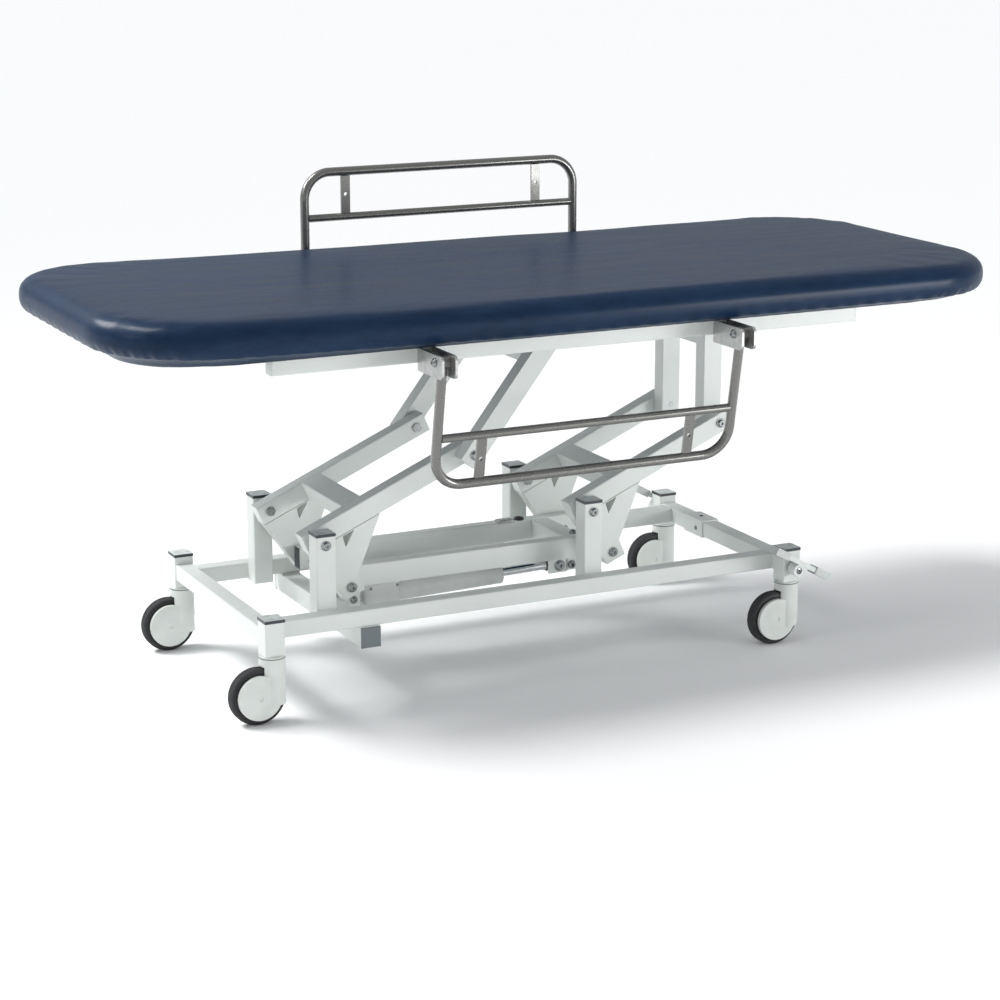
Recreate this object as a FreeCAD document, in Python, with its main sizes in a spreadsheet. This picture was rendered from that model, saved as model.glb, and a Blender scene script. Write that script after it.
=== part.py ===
"""Mobile height-adjustable medical exam table: parallelogram lift, four braked casters, two side rails.

Frame: +X along the table towards the brake-pedal end, +Y towards the raised side rail, +Z up.
Origin: on the floor, under the middle of the mattress. Units: millimetres.
"""
import FreeCAD, Part
import math
import os
import re
import Sketcher

V = FreeCAD.Vector
UP = V(0, 0, 1)

DIMENSIONS = {
    # bed
    "mattress_length": 1900, "mattress_width": 790, "mattress_height": 70, "mattress_corner": 205,
    "mattress_edge": 16, "board_length": 1720, "board_width": 680, "board_height": 10, "board_corner": 150,
    "bed_frame_z": 676, "bed_frame_x": -25, "bed_rail_side": 30, "bed_half_length": 621, "bed_rail_outer": 330,
    "tube_wall": 2.5, "leg_brace_thick": 8, "leg_brace_high": 66, "left_brace_high": 46, "left_brace_drop": 45,
    "leg_brace_drop": 12, "end_cross_inset": 80,
    # base
    "base_centre_x": -65, "base_half_length": 566, "base_half_width": 254, "post_side": 40,
    "post_bottom": 132, "post_top": 197, "cap_height": 6, "cap_plug": 9, "tube_corner": 3,
    "rail_top": 182, "rail_height": 33, "rail_width": 35, "rail_outer": 222.5,
    "lift_post_top": 325, "lift_post_bottom": 147,
    "cross_tube_x": -417, "cross_tube_side": 40, "seat_thick": 2, "end_plate": 4, "end_plug": 14,
    # lift linkage
    "lift_angle": 23.5, "arm_length": 350, "arm_height": 40, "arm_outer": 137, "arm_width": 34.5,
    "pivot_left_x": -491, "pivot_spacing": 576, "pivot_height": 308, "pivot_pin": 6, "pin_clearance": 0.05,
    "open_clearance": 0.3, "arm_beyond": 24, "arm_plug": 5, "arm_tube_at": 103, "arm_tube_side": 44,
    "lever_along": 25.5, "lever_down": 124.5, "lever_half": 22, "lever_past": 18, "lever_elbow": 16,
    "lever_reach": 137, "window_left": 50, "window_right": 77, "window_deep": 25,
    "bolt_head": 10, "washer_thick": 1.5, "head_thick": 6, "nut_radius": 10,
    "leg_side": 40, "left_leg_outer": 172, "right_leg_outer": 102, "left_leg_top_x": 7,
    "link_outer": 97, "link_width": 25, "link_height": 44, "link_beyond": 25, "link_cross_side": 40,
    "link_rise": 7,
    # actuator
    "actuator_x": -366, "actuator_z": 140, "rod_end_x": 98, "rod_end_z": 152,
    "actuator_reach": 330, "sleeve_outer": 22, "sleeve_bore": 20, "rod_radius": 9, "rod_length": 225,
    "eye_radius": 13, "eye_pin": 5, "eye_half": 10, "rear_eye_half": 13, "rear_neck": 26,
    "case_start": 62, "case_length": 74, "case_width": 62, "case_corner": 12, "case_height": 54,
    "motor_side": 46, "motor_radius": 20, "motor_start": 99, "motor_end": 196, "flange_start": 60,
    "flange_half": 24, "sleeve_floor": 4, "motor_clearance": 0.2,
    "rear_lug_outer": 21, "front_lug_outer": 17, "lug_thick": 6, "rear_lug_drop": 34, "front_lug_drop": 15,
    "front_lug_back": 24, "front_lug_front": 18, "small_head": 8, "front_pin_head": 12,
    # casters
    "wheel_radius": 55, "hub_radius": 41, "tyre_width": 25, "caster_trail": 32, "stem_radius": 25,
    "stem_bottom": 38, "caster_top": 128, "cover_radius": 43, "cover_width": 8, "axle_radius": 5,
    "kingpin_radius": 8, "kingpin_rise": 24, "wheel_gap": 1, "hub_lip": 6, "tread_half": 4,
    # brake
    "brake_z": 162, "shaft_radius": 7, "shaft_half": 299, "pedal_inner": 278, "pedal_width": 24,
    "pedal_half": 69, "pedal_thick": 10, "pedal_lift": 16, "pedal_angle": 29, "pad_length": 32,
    "pad_thick": 3, "boss_wall": 6,
    # side rails
    "hinge_y": 405, "hinge_z": 690, "near_rail_x": -31, "far_rail_x": 30, "rail_span": 630,
    "rail_reach": 247, "rail_mid": 152, "rail_tube": 9.5, "rail_bore": 8, "mid_tube": 8, "mid_bore": 6.5,
    "rail_corner": 56, "bar_spacing": 446, "bar_width": 20, "bar_thick": 5, "bar_hole": 4,
    "rail_lean": 10, "eye_outer": 12, "ear_gap": 22, "ear_thick": 5, "ear_above": 15, "ear_below": 28,
    "ear_beyond": 31, "ear_round": 10, "hinge_bolt": 5, "hinge_head": 9,
}

doc = FreeCAD.newDocument("ExamTable")
sheet = doc.addObject("Spreadsheet::Sheet", "Sizes")
for row, (alias, value) in enumerate(DIMENSIONS.items(), start=1):
    sheet.set(f"A{row}", alias.replace("_", " "))
    sheet.set(f"B{row}", str(value))
    sheet.setAlias(f"B{row}", alias)
doc.recompute()

PIECES = []


# ---------------------------------------------------------------- helpers

def ref(expression):
    """Point every alias of an expression at the sheet; aliases are the words with an underscore."""
    return re.sub(r"\b([a-z]+(?:_[a-z]+)+)\b", r"Sizes.\1", str(expression))


def value(expression):
    """Number that an expression of aliases comes to, angles in degrees."""
    return float(sheet.evalExpression(ref(expression)))


def bind(obj, **properties):
    for name, expression in properties.items():
        obj.setExpression(name.replace("__", "."), ref(expression))
    return obj


def place(obj, at=(0, 0, 0), axis=UP, angle=0):
    """Bind an object's position, and its turn about an axis through its own origin."""
    obj.Placement = FreeCAD.Placement(V(0, 0, 0), FreeCAD.Rotation(axis, value(angle)))
    for letter, expression in zip("xyz", at):
        obj.setExpression(f"Placement.Base.{letter}", ref(expression))
    return obj


def block(name, x, y, z):
    """Box between the pairs of planes x, y and z."""
    box = doc.addObject("Part::Box", name)
    for side, (low, high) in zip(("Length", "Width", "Height"), (x, y, z)):
        box.setExpression(side, ref(f"({high}) - ({low})"))
    return place(box, (x[0], y[0], z[0]))


ALONG = {"X": (V(0, 1, 0), 90), "Y": (V(1, 0, 0), -90), "Z": (UP, 0)}


def rod(name, radius, along, start, end, centre):
    """Round bar along X, Y or Z from start to end; centre is its place across that direction."""
    bar = doc.addObject("Part::Cylinder", name)
    bind(bar, Radius=radius, Height=f"({end}) - ({start})")
    across = list(centre)
    across.insert("XYZ".index(along), start)
    return place(bar, across, *ALONG[along])


def joined(name, objects):
    if len(objects) == 1:
        return objects[0]
    whole = doc.addObject("Part::MultiFuse", name)
    whole.Shapes = objects
    return whole


def cut(name, base, *tools):
    result = doc.addObject("Part::Cut", name)
    result.Base = base
    result.Tool = joined(name + "Tools", list(tools))
    return result


def mirrored(name, source):
    """The same piece on the other side of the table's long middle plane."""
    copy = doc.addObject("Part::Mirroring", name)
    copy.Source = source
    copy.Normal = V(0, 1, 0)
    return copy


def group(name, objects):
    together = doc.addObject("Part::Compound", name)
    together.Links = objects
    return together


def both_sides(name, near):
    return group(name, [near, mirrored(name + "Far", near)])


def piece(label, obj):
    obj.Label = label
    PIECES.append(obj)
    return obj


def rounded_block(name, x, y, z, along):
    """Box between the planes x, y and z with its four edges along one direction rounded."""
    box = block(name + "Block", x, y, z)
    box.recompute()
    radius = value("tube_corner")
    direction = {"X": V(1, 0, 0), "Y": V(0, 1, 0), "Z": UP}[along]
    bar = doc.addObject("Part::Fillet", name)
    bar.Base = box
    bar.Edges = [(index, radius, radius) for index, edge in enumerate(box.Shape.Edges, start=1)
                 if edge.tangentAt(edge.FirstParameter).cross(direction).Length < 0.01]
    return bar


def square_tube(name, x, y, z, along, wall="tube_wall"):
    """Box tube between the planes x, y and z, open at both ends of its long direction."""
    inside = []
    for letter, (low, high) in zip("XYZ", (x, y, z)):
        if letter == along:
            inside.append((f"({low}) - 1", f"({high}) + 1"))
        else:
            inside.append((f"({low}) + {wall}", f"({high}) - {wall}"))
    return cut(name, rounded_block(name + "Outside", x, y, z, along), block(name + "Inside", *inside))


def bolt(name, radius, head_at, end_at, centre, along="Y", head="bolt_head"):
    """Bolt with a washer and a button head beyond head_at, on the side away from end_at."""
    shank = rod(name + "Shank", radius, along, head_at, end_at, centre)
    washer = rod(name + "Washer", head, along, f"({head_at}) - washer_thick", head_at, centre)
    across = list(centre)
    across.insert("XYZ".index(along), f"({head_at}) - head_thick")
    dome = doc.addObject("Part::Cone", name + "Dome")
    bind(dome, Radius1=f"{head} - 4", Radius2=f"{head} - 1.5", Height="head_thick - washer_thick")
    socket = doc.addObject("Part::Prism", name + "Socket")
    socket.Polygon = 6
    bind(socket, Circumradius=f"{head} / 3", Height="head_thick / 2")
    for part in (dome, socket):
        place(part, across, *ALONG[along])
    return cut(name, joined(name + "Blank", [shank, washer, dome]), socket)


def nut(name, along, start, end, centre):
    """Thin hexagon nut from start to end."""
    body = doc.addObject("Part::Prism", name)
    body.Polygon = 6
    bind(body, Circumradius="nut_radius", Height=f"({end}) - ({start})")
    across = list(centre)
    across.insert("XYZ".index(along), start)
    return place(body, across, *ALONG[along])


def new_body(name):
    return doc.addObject("PartDesign::Body", name)


def sketch_on(body, plane, name):
    sketch = body.newObject("Sketcher::SketchObject", name)
    origin = [o for o in body.Origin.OriginFeatures if o.Role == plane][0]
    sketch.AttachmentSupport = [(origin, "")]
    sketch.MapMode = "FlatFace"
    return sketch


def outline(sketch, points):
    """Closed polygon through sketch points."""
    corners = [V(value(x), value(y), 0) for x, y in points]
    first = sketch.GeometryCount
    for start, end in zip(corners, corners[1:] + corners[:1]):
        sketch.addGeometry(Part.LineSegment(start, end), False)
    for index in range(len(corners)):
        after = first + (index + 1) % len(corners)
        sketch.addConstraint(Sketcher.Constraint("Coincident", first + index, 2, after, 1))


def circle(sketch, centre, radius):
    where = V(value(centre[0]), value(centre[1]), 0)
    index = sketch.addGeometry(Part.Circle(where, UP, value(radius)), False)
    number = sketch.addConstraint(Sketcher.Constraint("Radius", index, value(radius)))
    sketch.setExpression(f"Constraints[{number}]", ref(radius))


def rounded(sketch, length, width, radius):
    """Centred rectangle with round corners."""
    half_x, half_y, r = value(length) / 2, value(width) / 2, value(radius)
    quarters = ((1, 1, 0), (-1, 1, 90), (-1, -1, 180), (1, -1, 270))
    ends = []
    for sx, sy, begin in quarters:
        centre = V(sx * (half_x - r), sy * (half_y - r), 0)
        arc = Part.ArcOfCircle(
            Part.Circle(centre, UP, r), math.radians(begin), math.radians(begin + 90)
        )
        sketch.addGeometry(arc, False)
        ends.append((arc.StartPoint, arc.EndPoint))
    for index in range(4):
        line = Part.LineSegment(ends[index][1], ends[(index + 1) % 4][0])
        sketch.addGeometry(line, False)
        sketch.addConstraint(Sketcher.Constraint("Coincident", index, 2, 4 + index, 1))
        sketch.addConstraint(Sketcher.Constraint("Coincident", 4 + index, 2, (index + 1) % 4, 1))


def pad(body, sketch, length, midplane=False):
    feature = body.newObject("PartDesign::Pad", sketch.Name + "Pad")
    feature.Profile = sketch
    feature.setExpression("Length", ref(length))
    if midplane:
        feature.Midplane = True
    doc.recompute()
    return feature


def edge_feature(body, kind, base, edges, size):
    """Fillet or Chamfer of the named edges."""
    feature = body.newObject(f"PartDesign::{kind}", body.Name + kind)
    feature.Base = (base, edges)
    feature.setExpression("Radius" if kind == "Fillet" else "Size", ref(size))
    doc.recompute()
    return feature


def edges_at(shape, height):
    """Names of the edges that lie flat at a height."""
    names = []
    for index, edge in enumerate(shape.Edges, start=1):
        box = edge.BoundBox
        if abs(box.ZMin - height) < 0.01 and abs(box.ZMax - height) < 0.01:
            names.append(f"Edge{index}")
    return names


def turned(name, profile):
    """Body of revolution about its own Y axis from a half profile of (radius, place along Y)."""
    body = new_body(name)
    sketch = sketch_on(body, "XY_Plane", name + "Profile")
    outline(sketch, profile)
    spin = body.newObject("PartDesign::Revolution", name + "Turn")
    spin.Profile = sketch
    spin.ReferenceAxis = (sketch, ["V_Axis"])
    spin.Angle = 360
    doc.recompute()
    return body


# ---------------------------------------------------------------- base frame

MIDDLE = "base_centre_x"
CORNERS = {
    "front_left": (-1, -1), "back_left": (-1, 1), "front_right": (1, -1), "back_right": (1, 1),
}


def corner_x(side):
    return f"{MIDDLE} + ({side}) * base_half_length"


def plug_cap(name, x, y, top):
    """Plastic cap on a post: a plate over the tube and a plug inside it."""
    half = "post_side / 2"
    plate = block(name + "Plate", (f"{x} - {half}", f"{x} + {half}"),
                  (f"{y} - {half}", f"{y} + {half}"), (top, f"{top} + cap_height"))
    inner = f"({half} - tube_wall)"
    plug = block(name + "Plug", (f"{x} - {inner}", f"{x} + {inner}"),
                 (f"{y} - {inner}", f"{y} + {inner}"), (f"{top} - cap_plug", top))
    return joined(name, [plate, plug])


def base_frame():
    inner = "(rail_outer - rail_width)"
    bottom = "rail_top - rail_height"
    end_face = "(base_half_length - rail_width / 2)"
    near = square_tube("RailNear", (f"{MIDDLE} - {end_face}", f"{MIDDLE} + {end_face}"),
                       ("-rail_outer", f"-{inner}"), (bottom, "rail_top"), "X")
    piece("base_rail_near", near)
    piece("base_rail_far", mirrored("RailFar", near))
    for label, side in (("base_end_rail_left", -1), ("base_end_rail_right", 1)):
        x = corner_x(side)
        reach = "(base_half_width - post_side / 2)"
        rail = square_tube("EndRail" + label[14:], (f"{x} - rail_width / 2", f"{x} + rail_width / 2"),
                           (f"-{reach}", reach), (bottom, "rail_top"), "Y")
        piece(label, rail)
    posts, caps, collars = [], [], []
    for corner, (sx, sy) in CORNERS.items():
        x, y = corner_x(sx), f"{sy} * base_half_width"
        half = "post_side / 2"
        post = square_tube("Post" + corner, (f"{x} - {half}", f"{x} + {half}"),
                           (f"{y} - {half}", f"{y} + {half}"), ("post_bottom", "post_top"), "Z")
        if sx > 0:
            hole = rod("ShaftHole" + corner, "shaft_radius + pin_clearance", "Y",
                       f"{y} - post_side", f"{y} + post_side", (x, "brake_z"))
            post = cut("BoredPost" + corner, post, hole)
        posts.append(post)
        caps.append(plug_cap("Cap" + corner, x, y, "post_top"))
        ring = rod("Ring" + corner, "stem_radius", "Z", "caster_top + wheel_gap", "post_bottom", (x, y))
        bore = rod("RingBore" + corner, "kingpin_radius + pin_clearance", "Z", "caster_top",
                   "post_bottom + 1", (x, y))
        collars.append(cut("Collar" + corner, ring, bore))
    piece("corner_posts", group("CornerPosts", posts))
    piece("corner_post_caps", group("CornerPostCaps", caps))
    piece("caster_collars", group("CasterCollars", collars))


LIFT_X = {"left": "pivot_left_x", "right": "(pivot_left_x + pivot_spacing)"}
ARM_NUT = ("-(arm_outer - arm_width - 1)", "-(arm_outer - arm_width - 4)")


def lift_posts():
    outer = "(rail_outer - rail_width)"
    posts, caps, pins = [], [], []
    for side, x in LIFT_X.items():
        half = "post_side / 2"
        y_middle = f"-({outer} - post_side / 2)"
        tube = square_tube("LiftPost" + side, (f"{x} - {half}", f"{x} + {half}"),
                           (f"-{outer}", f"-({outer} - post_side)"),
                           ("lift_post_bottom", "lift_post_top"), "Z")
        hole = rod("LiftHole" + side, "pivot_pin", "Y", f"-{outer} - 1", f"-({outer} - post_side) + 1",
                   (x, "pivot_height"))
        post = cut("BoredLiftPost" + side, tube, hole)
        cap = plug_cap("LiftCap" + side, x, y_middle, "lift_post_top")
        lock = nut("LiftNut" + side, "Y", *ARM_NUT, (x, "pivot_height"))
        pin = bolt("LiftPin" + side, "pivot_pin", f"-{outer}", ARM_NUT[1], (x, "pivot_height"))
        pin = joined("LiftBolt" + side, [pin, lock])
        posts += [post, mirrored("LiftPostFar" + side, post)]
        caps += [cap, mirrored("LiftCapFar" + side, cap)]
        pins += [pin, mirrored("LiftPinFar" + side, pin)]
    piece("lift_posts", group("LiftPosts", posts))
    piece("lift_post_caps", group("LiftPostCaps", caps))
    piece("lower_pivot_bolts", group("LowerPivotBolts", pins))


def actuator_mounting():
    half = "cross_tube_side / 2"
    top = "(rail_top - rail_height - seat_thick)"
    x = ("cross_tube_x - " + half, "cross_tube_x + " + half)
    tube = square_tube("CrossTube", x, ("-rail_outer", "rail_outer"),
                       (f"{top} - cross_tube_side", top), "Y")
    inner = "(cross_tube_side / 2 - tube_wall)"
    plate = block("EndPlate", x, ("-rail_outer - end_plate", "-rail_outer"), (f"{top} - cross_tube_side", top))
    plug = block("EndPlug", (f"cross_tube_x - {inner}", f"cross_tube_x + {inner}"),
                 ("-rail_outer", "-rail_outer + end_plug"),
                 (f"{top} - cross_tube_side + tube_wall", f"{top} - tube_wall"))
    piece("cross_tube_end_caps", both_sides("EndCaps", joined("EndCap", [plate, plug])))
    seats = []
    for index, y in enumerate(("-(rail_outer - rail_width / 2)", "(rail_outer - rail_width / 2)")):
        seat_y = (f"{y} - rail_width / 2 + 0.5", f"{y} + rail_width / 2 - 0.5")
        seats.append(block(f"Seat{index}", x, seat_y, (top, f"{top} + seat_thick")))
    piece("base_cross_tube", group("CrossTubeAndSeats", [tube, *seats]))
    lug_x = (f"cross_tube_x + {half}", "actuator_x + eye_radius + 1")
    lug = block("RearLug", lug_x, ("-rear_lug_outer", "lug_thick - rear_lug_outer"),
                ("actuator_z - rear_lug_drop", "actuator_z + eye_radius + 1"))
    bore = rod("RearBore", "eye_pin", "Y", "-rear_lug_outer - 1", "-eye_radius", ("actuator_x", "actuator_z"))
    piece("actuator_rear_bracket", both_sides("RearBracket", cut("BoredRearLug", lug, bore)))
    pin = bolt("RearPin", "eye_pin", "-rear_lug_outer", "rear_lug_outer + 3", ("actuator_x", "actuator_z"),
               head="small_head")
    piece("actuator_rear_pin", pin)


# ---------------------------------------------------------------- brake pedal

def brake():
    x = corner_x(1)
    shaft = rod("Shaft", "shaft_radius", "Y", "-shaft_half", "shaft_half", (x, "brake_z"))
    piece("brake_shaft", shaft)
    outer = "(pedal_inner + pedal_width)"
    plate_y = (f"-{outer}", "-pedal_inner")
    bottom = "(pedal_lift - pedal_thick / 2)"
    plate_z = (bottom, f"{bottom} + pedal_thick")
    plate = block("PedalPlate", ("-pedal_half", "pedal_half"), plate_y, plate_z)
    boss = rod("PedalBoss", "shaft_radius + boss_wall", "Y", *plate_y, ("0", "0"))
    bore = rod("PedalBore", "shaft_radius", "Y", f"-{outer} - 1", "-pedal_inner + 1", ("0", "0"))
    pedal = cut("Pedal", joined("PedalBlank", [plate, boss]), bore)
    both = both_sides("Pedals", pedal)
    piece("brake_pedals", place(both, (x, "0", "brake_z"), V(0, 1, 0), "pedal_angle"))
    pads = []
    for name, low, high in (("Toe", "pedal_half - pad_length", "pedal_half + pad_thick"),
                            ("Heel", "-pedal_half - pad_thick", "pad_length - pedal_half")):
        shell = block(name + "Shell", (low, high), (f"-{outer} - pad_thick", "-pedal_inner + 2"),
                      (f"{bottom} - pad_thick", f"{bottom} + pedal_thick + pad_thick"))
        hollow = block(name + "Hollow", ("-pedal_half", "pedal_half"), plate_y, plate_z)
        pads.append(cut(name + "Pad", shell, hollow))
    pads += [mirrored(pad_.Name + "Far", pad_) for pad_ in pads]
    cover = place(group("Pads", pads), (x, "0", "brake_z"), V(0, 1, 0), "pedal_angle")
    piece("pedal_pads", cover)


# ---------------------------------------------------------------- casters

def caster(corner, sx, sy):
    x, y = corner_x(sx), f"{sy} * base_half_width"
    wheel_x = f"{x} - caster_trail"
    hub_at = (wheel_x, "wheel_radius")
    stem = rod("Stem" + corner, "stem_radius", "Z", "stem_bottom", "caster_top", (x, y))
    half = "(tyre_width / 2 + wheel_gap)"
    cover = rod("Cover" + corner, "cover_radius", "Y", f"{y} - {half} - cover_width",
                f"{y} + {half} + cover_width", hub_at)
    space = rod("Space" + corner, "wheel_radius + 3", "Y", f"{y} - {half}", f"{y} + {half}", hub_at)
    bore = rod("AxleBore" + corner, "axle_radius", "Y", f"{y} - stem_radius - 2", f"{y} + stem_radius + 2",
               hub_at)
    kingpin = rod("Kingpin" + corner, "kingpin_radius", "Z", "caster_top - kingpin_radius",
                  "caster_top + kingpin_rise", (x, y))
    shell = cut("Fork" + corner, joined("ForkBlank" + corner, [stem, cover]), space, bore)
    fork = joined("CasterFork" + corner, [shell, kingpin])
    width = "tyre_width / 2 - wheel_gap"
    bore_r = "axle_radius + pin_clearance"
    hub = turned("Hub" + corner, (
        (bore_r, f"-({width})"), ("hub_radius - hub_lip", f"-({width})"),
        ("hub_radius", f"-({width}) + hub_lip / 2"), ("hub_radius", f"{width} - hub_lip / 2"),
        ("hub_radius - hub_lip", width), (bore_r, width),
    ))
    place(hub, (wheel_x, y, "wheel_radius"))
    axle = rod("Axle" + corner, "axle_radius", "Y", f"{y} - {half} - cover_width + 1",
               f"{y} + {half} + cover_width - 1", hub_at)
    piece("caster_fork_" + corner, group("CasterUnit" + corner, [fork, axle]))
    piece("wheel_hub_" + corner, hub)
    edge = "tyre_width / 2"
    tyre = turned("Tyre" + corner, (
        ("hub_radius", f"-({edge}) + 1"), ("wheel_radius - 6", f"-({edge})"),
        ("wheel_radius - 1.5", f"-({edge}) + 5"), ("wheel_radius", "-tread_half"), ("wheel_radius", "tread_half"),
        ("wheel_radius - 1.5", f"{edge} - 5"), ("wheel_radius - 6", edge), ("hub_radius", f"{edge} - 1"),
    ))
    place(tyre, (wheel_x, y, "wheel_radius"))
    piece("tyre_" + corner, tyre)


# ---------------------------------------------------------------- lift arms

ARM_TURN = (V(0, -1, 0), "lift_angle")


def lift_arms(side, x, tip_clearance):
    """Two box-tube arms with their cross tube and V levers, drawn level and then turned to lift_angle."""
    end = "arm_beyond"
    outer, inner = "-arm_outer", "-(arm_outer - arm_width)"
    tube = square_tube("Arm" + side, (f"-{end}", f"arm_length + {end}"), (outer, inner),
                       ("-arm_height / 2", "arm_height / 2"), "X")
    holes = [rod("ArmHole" + side, "pivot_pin + pin_clearance", "Y", f"{outer} - 1", f"{inner} + 1", ("0", "0")),
             rod("TipHole" + side, f"pivot_pin + {tip_clearance}", "Y", f"{outer} - 1", f"{inner} + 1",
                 ("arm_length", "0"))]
    arm = cut("BoredArm" + side, tube, *holes)
    plug_y = (f"{outer} + tube_wall", f"{inner} - tube_wall")
    plug_z = ("-arm_height / 2 + tube_wall", "arm_height / 2 - tube_wall")
    plugs = [block("Root" + side, (f"-{end}", f"-{end} + arm_plug"), plug_y, plug_z),
             block("Tip" + side, (f"arm_length + {end} - arm_plug", f"arm_length + {end}"), plug_y, plug_z)]
    near = joined("ArmNear" + side, [arm, *plugs])
    at = (x, "0", "pivot_height")
    piece(f"{side}_lift_arms", place(both_sides("Arms" + side, near), at, *ARM_TURN))
    half = "arm_tube_side / 2"
    cross = square_tube("ArmCross" + side, (f"arm_tube_at - {half}", f"arm_tube_at + {half}"),
                        (inner, "arm_outer - arm_width"), ("-arm_height / 2", "arm_height / 2"), "Y")
    piece(f"{side}_arm_cross_tube", place(group("ArmCrossTube" + side, [cross]), at, *ARM_TURN))
    lever = new_body("Lever" + side)
    sketch = sketch_on(lever, "XZ_Plane", "LeverOutline" + side)
    lever_profile(sketch)
    pad(lever, sketch, "arm_width")
    low = "-arm_outer + arm_width"
    place(lever, ("0", low, "0"))
    levers = both_sides("Levers" + side, group("LeverNear" + side, [lever]))
    piece(f"{side}_levers", place(levers, at, *ARM_TURN))


def lever_profile(sketch):
    """Side view of a lever: a leg under the arm's root with its foot cut square round the link pin, a brace
    from further along the arm, and a small three-cornered window between them."""
    top = "-arm_height / 2"
    foot = "-lever_down - lever_past"
    right = "lever_along + lever_half"
    outline(sketch, [
        ("lever_reach", top), ("-lever_half", top), ("lever_along - lever_half", foot), (right, foot),
        (right, "-lever_down + lever_elbow"),
    ])
    outline(sketch, [
        ("window_left", f"{top} - 2"), ("window_right", f"{top} - 2"), (right, f"{top} - window_deep"),
    ])
    circle(sketch, ("lever_along", "-lever_down"), "pivot_pin + open_clearance")


# ---------------------------------------------------------------- link between the levers

def pivot_to_lever():
    """Level offsets from a lower pivot to its lever's pin at rest."""
    angle = "lift_angle"
    along = f"(lever_along * cos({angle}) + lever_down * sin({angle}))"
    up = f"(lever_along * sin({angle}) - lever_down * cos({angle}))"
    return along, up


def link():
    along, up = pivot_to_lever()
    left = f"(pivot_left_x + {along})"
    right = f"(pivot_left_x + pivot_spacing + {along})"
    height = f"(pivot_height + {up})"
    middle = f"({height} + link_rise)"
    half = "link_height / 2"
    inner = "(link_outer - link_width)"
    tube = square_tube("LinkBar", (f"{left} - link_beyond", f"{right} + link_beyond"), ("-link_outer", f"-{inner}"),
                       (f"{middle} - {half}", f"{middle} + {half}"), "X")
    holes = [rod(f"LinkHole{i}", "pivot_pin", "Y", "-link_outer - 1", f"-{inner} + 1", (x, height))
             for i, x in enumerate((left, right))]
    piece("link_bars", both_sides("LinkBars", cut("BoredLinkBar", tube, *holes)))
    pins = []
    for name, x in (("Left", left), ("Right", right)):
        pin = bolt("LinkPin" + name, "pivot_pin", "-arm_outer - 1", f"-{inner}", (x, height))
        pins += [pin, mirrored("LinkPinFar" + name, pin)]
    piece("link_pins", group("LinkPins", pins))
    side = "link_cross_side / 2"
    cross = square_tube("LinkCross", (f"rod_end_x - {side}", f"rod_end_x + {side}"), (f"-{inner}", inner),
                        (f"{middle} - {side}", f"{middle} + {side}"), "Y")
    piece("link_cross_tube", group("LinkCrossTube", [cross]))
    lug = block("FrontLug", ("rod_end_x - front_lug_back", "rod_end_x + front_lug_front"),
                ("-front_lug_outer", "lug_thick - front_lug_outer"),
                ("rod_end_z - front_lug_drop", f"{middle} - {side}"))
    bore = rod("FrontBore", "eye_pin", "Y", "-front_lug_outer - 1", "-eye_half", ("rod_end_x", "rod_end_z"))
    piece("actuator_front_lugs", both_sides("FrontLugs", cut("BoredFrontLug", lug, bore)))
    pin = bolt("FrontPin", "eye_pin", "-front_lug_outer", "front_lug_outer + 3", ("rod_end_x", "rod_end_z"),
               head="front_pin_head")
    piece("actuator_front_pin", pin)


# ---------------------------------------------------------------- actuator

def actuator():
    line_angle = math.degrees(math.atan2(value("rod_end_z - actuator_z"), value("rod_end_x - actuator_x")))
    turn = (V(0, -1, 0), line_angle)
    at = ("actuator_x", "0", "actuator_z")
    eye = rod("RearEye", "eye_radius", "Y", "-rear_eye_half", "rear_eye_half", ("0", "0"))
    neck_side = ("-eye_half", "eye_half")
    neck = block("RearNeck", ("0", "rear_neck"), neck_side, neck_side)
    eye_hole = rod("RearEyeHole", "eye_pin + pin_clearance", "Y", "-rear_eye_half - 1", "rear_eye_half + 1",
                   ("0", "0"))
    box = new_body("Gearbox")
    sketch = sketch_on(box, "XY_Plane", "GearboxOutline")
    rounded(sketch, "case_length", "case_width", "case_corner")
    pad(box, sketch, "case_height")
    place(box, ("case_start", "0", "-case_height / 2"))
    body = cut("DriveCase", joined("DriveBlank", [eye, neck, box]), eye_hole)
    motor = rod("MotorCan", "motor_radius", "X", "motor_start", "motor_end", ("motor_side", "0"))
    flange = block("MotorFlange", ("flange_start", "motor_start"),
                   ("motor_radius", "motor_side + motor_radius + 2"), ("-flange_half", "flange_half"))
    case = joined("DriveWhole", [body, flange, motor])
    piece("actuator_drive_unit", place(group("Drive", [case]), at, *turn))
    sleeve = rod("SleeveOutside", "sleeve_outer", "X", "motor_start", "actuator_reach", ("0", "0"))
    clearing = rod("SleeveFlat", "motor_radius + motor_clearance", "X", "motor_start - 1", "motor_end + 1",
                   ("motor_side", "0"))
    bore = rod("SleeveBore", "sleeve_bore", "X", "motor_start + sleeve_floor", "actuator_reach + 1", ("0", "0"))
    tube = cut("Sleeve", sleeve, bore, clearing)
    piece("actuator_outer_tube", place(group("OuterTube", [tube]), at, *turn))
    shaft = rod("RodShaft", "rod_radius", "X", "-rod_length", "-8", ("0", "0"))
    front_eye = rod("RodEye", "eye_radius", "Y", "-eye_half", "eye_half", ("0", "0"))
    hole = rod("RodEyeHole", "eye_pin + pin_clearance", "Y", "-eye_half - 1", "eye_half + 1", ("0", "0"))
    whole = cut("Rod", joined("RodBlank", [shaft, front_eye]), hole)
    piece("actuator_rod", place(group("RodGroup", [whole]), ("rod_end_x", "0", "rod_end_z"), *turn))


# ---------------------------------------------------------------- bed frame

TIP_X = "(pivot_left_x + arm_length * cos(lift_angle))"
TIP_Z = "(pivot_height + arm_length * sin(lift_angle))"
RIGHT_TIP_X = f"({TIP_X} + pivot_spacing)"


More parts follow.
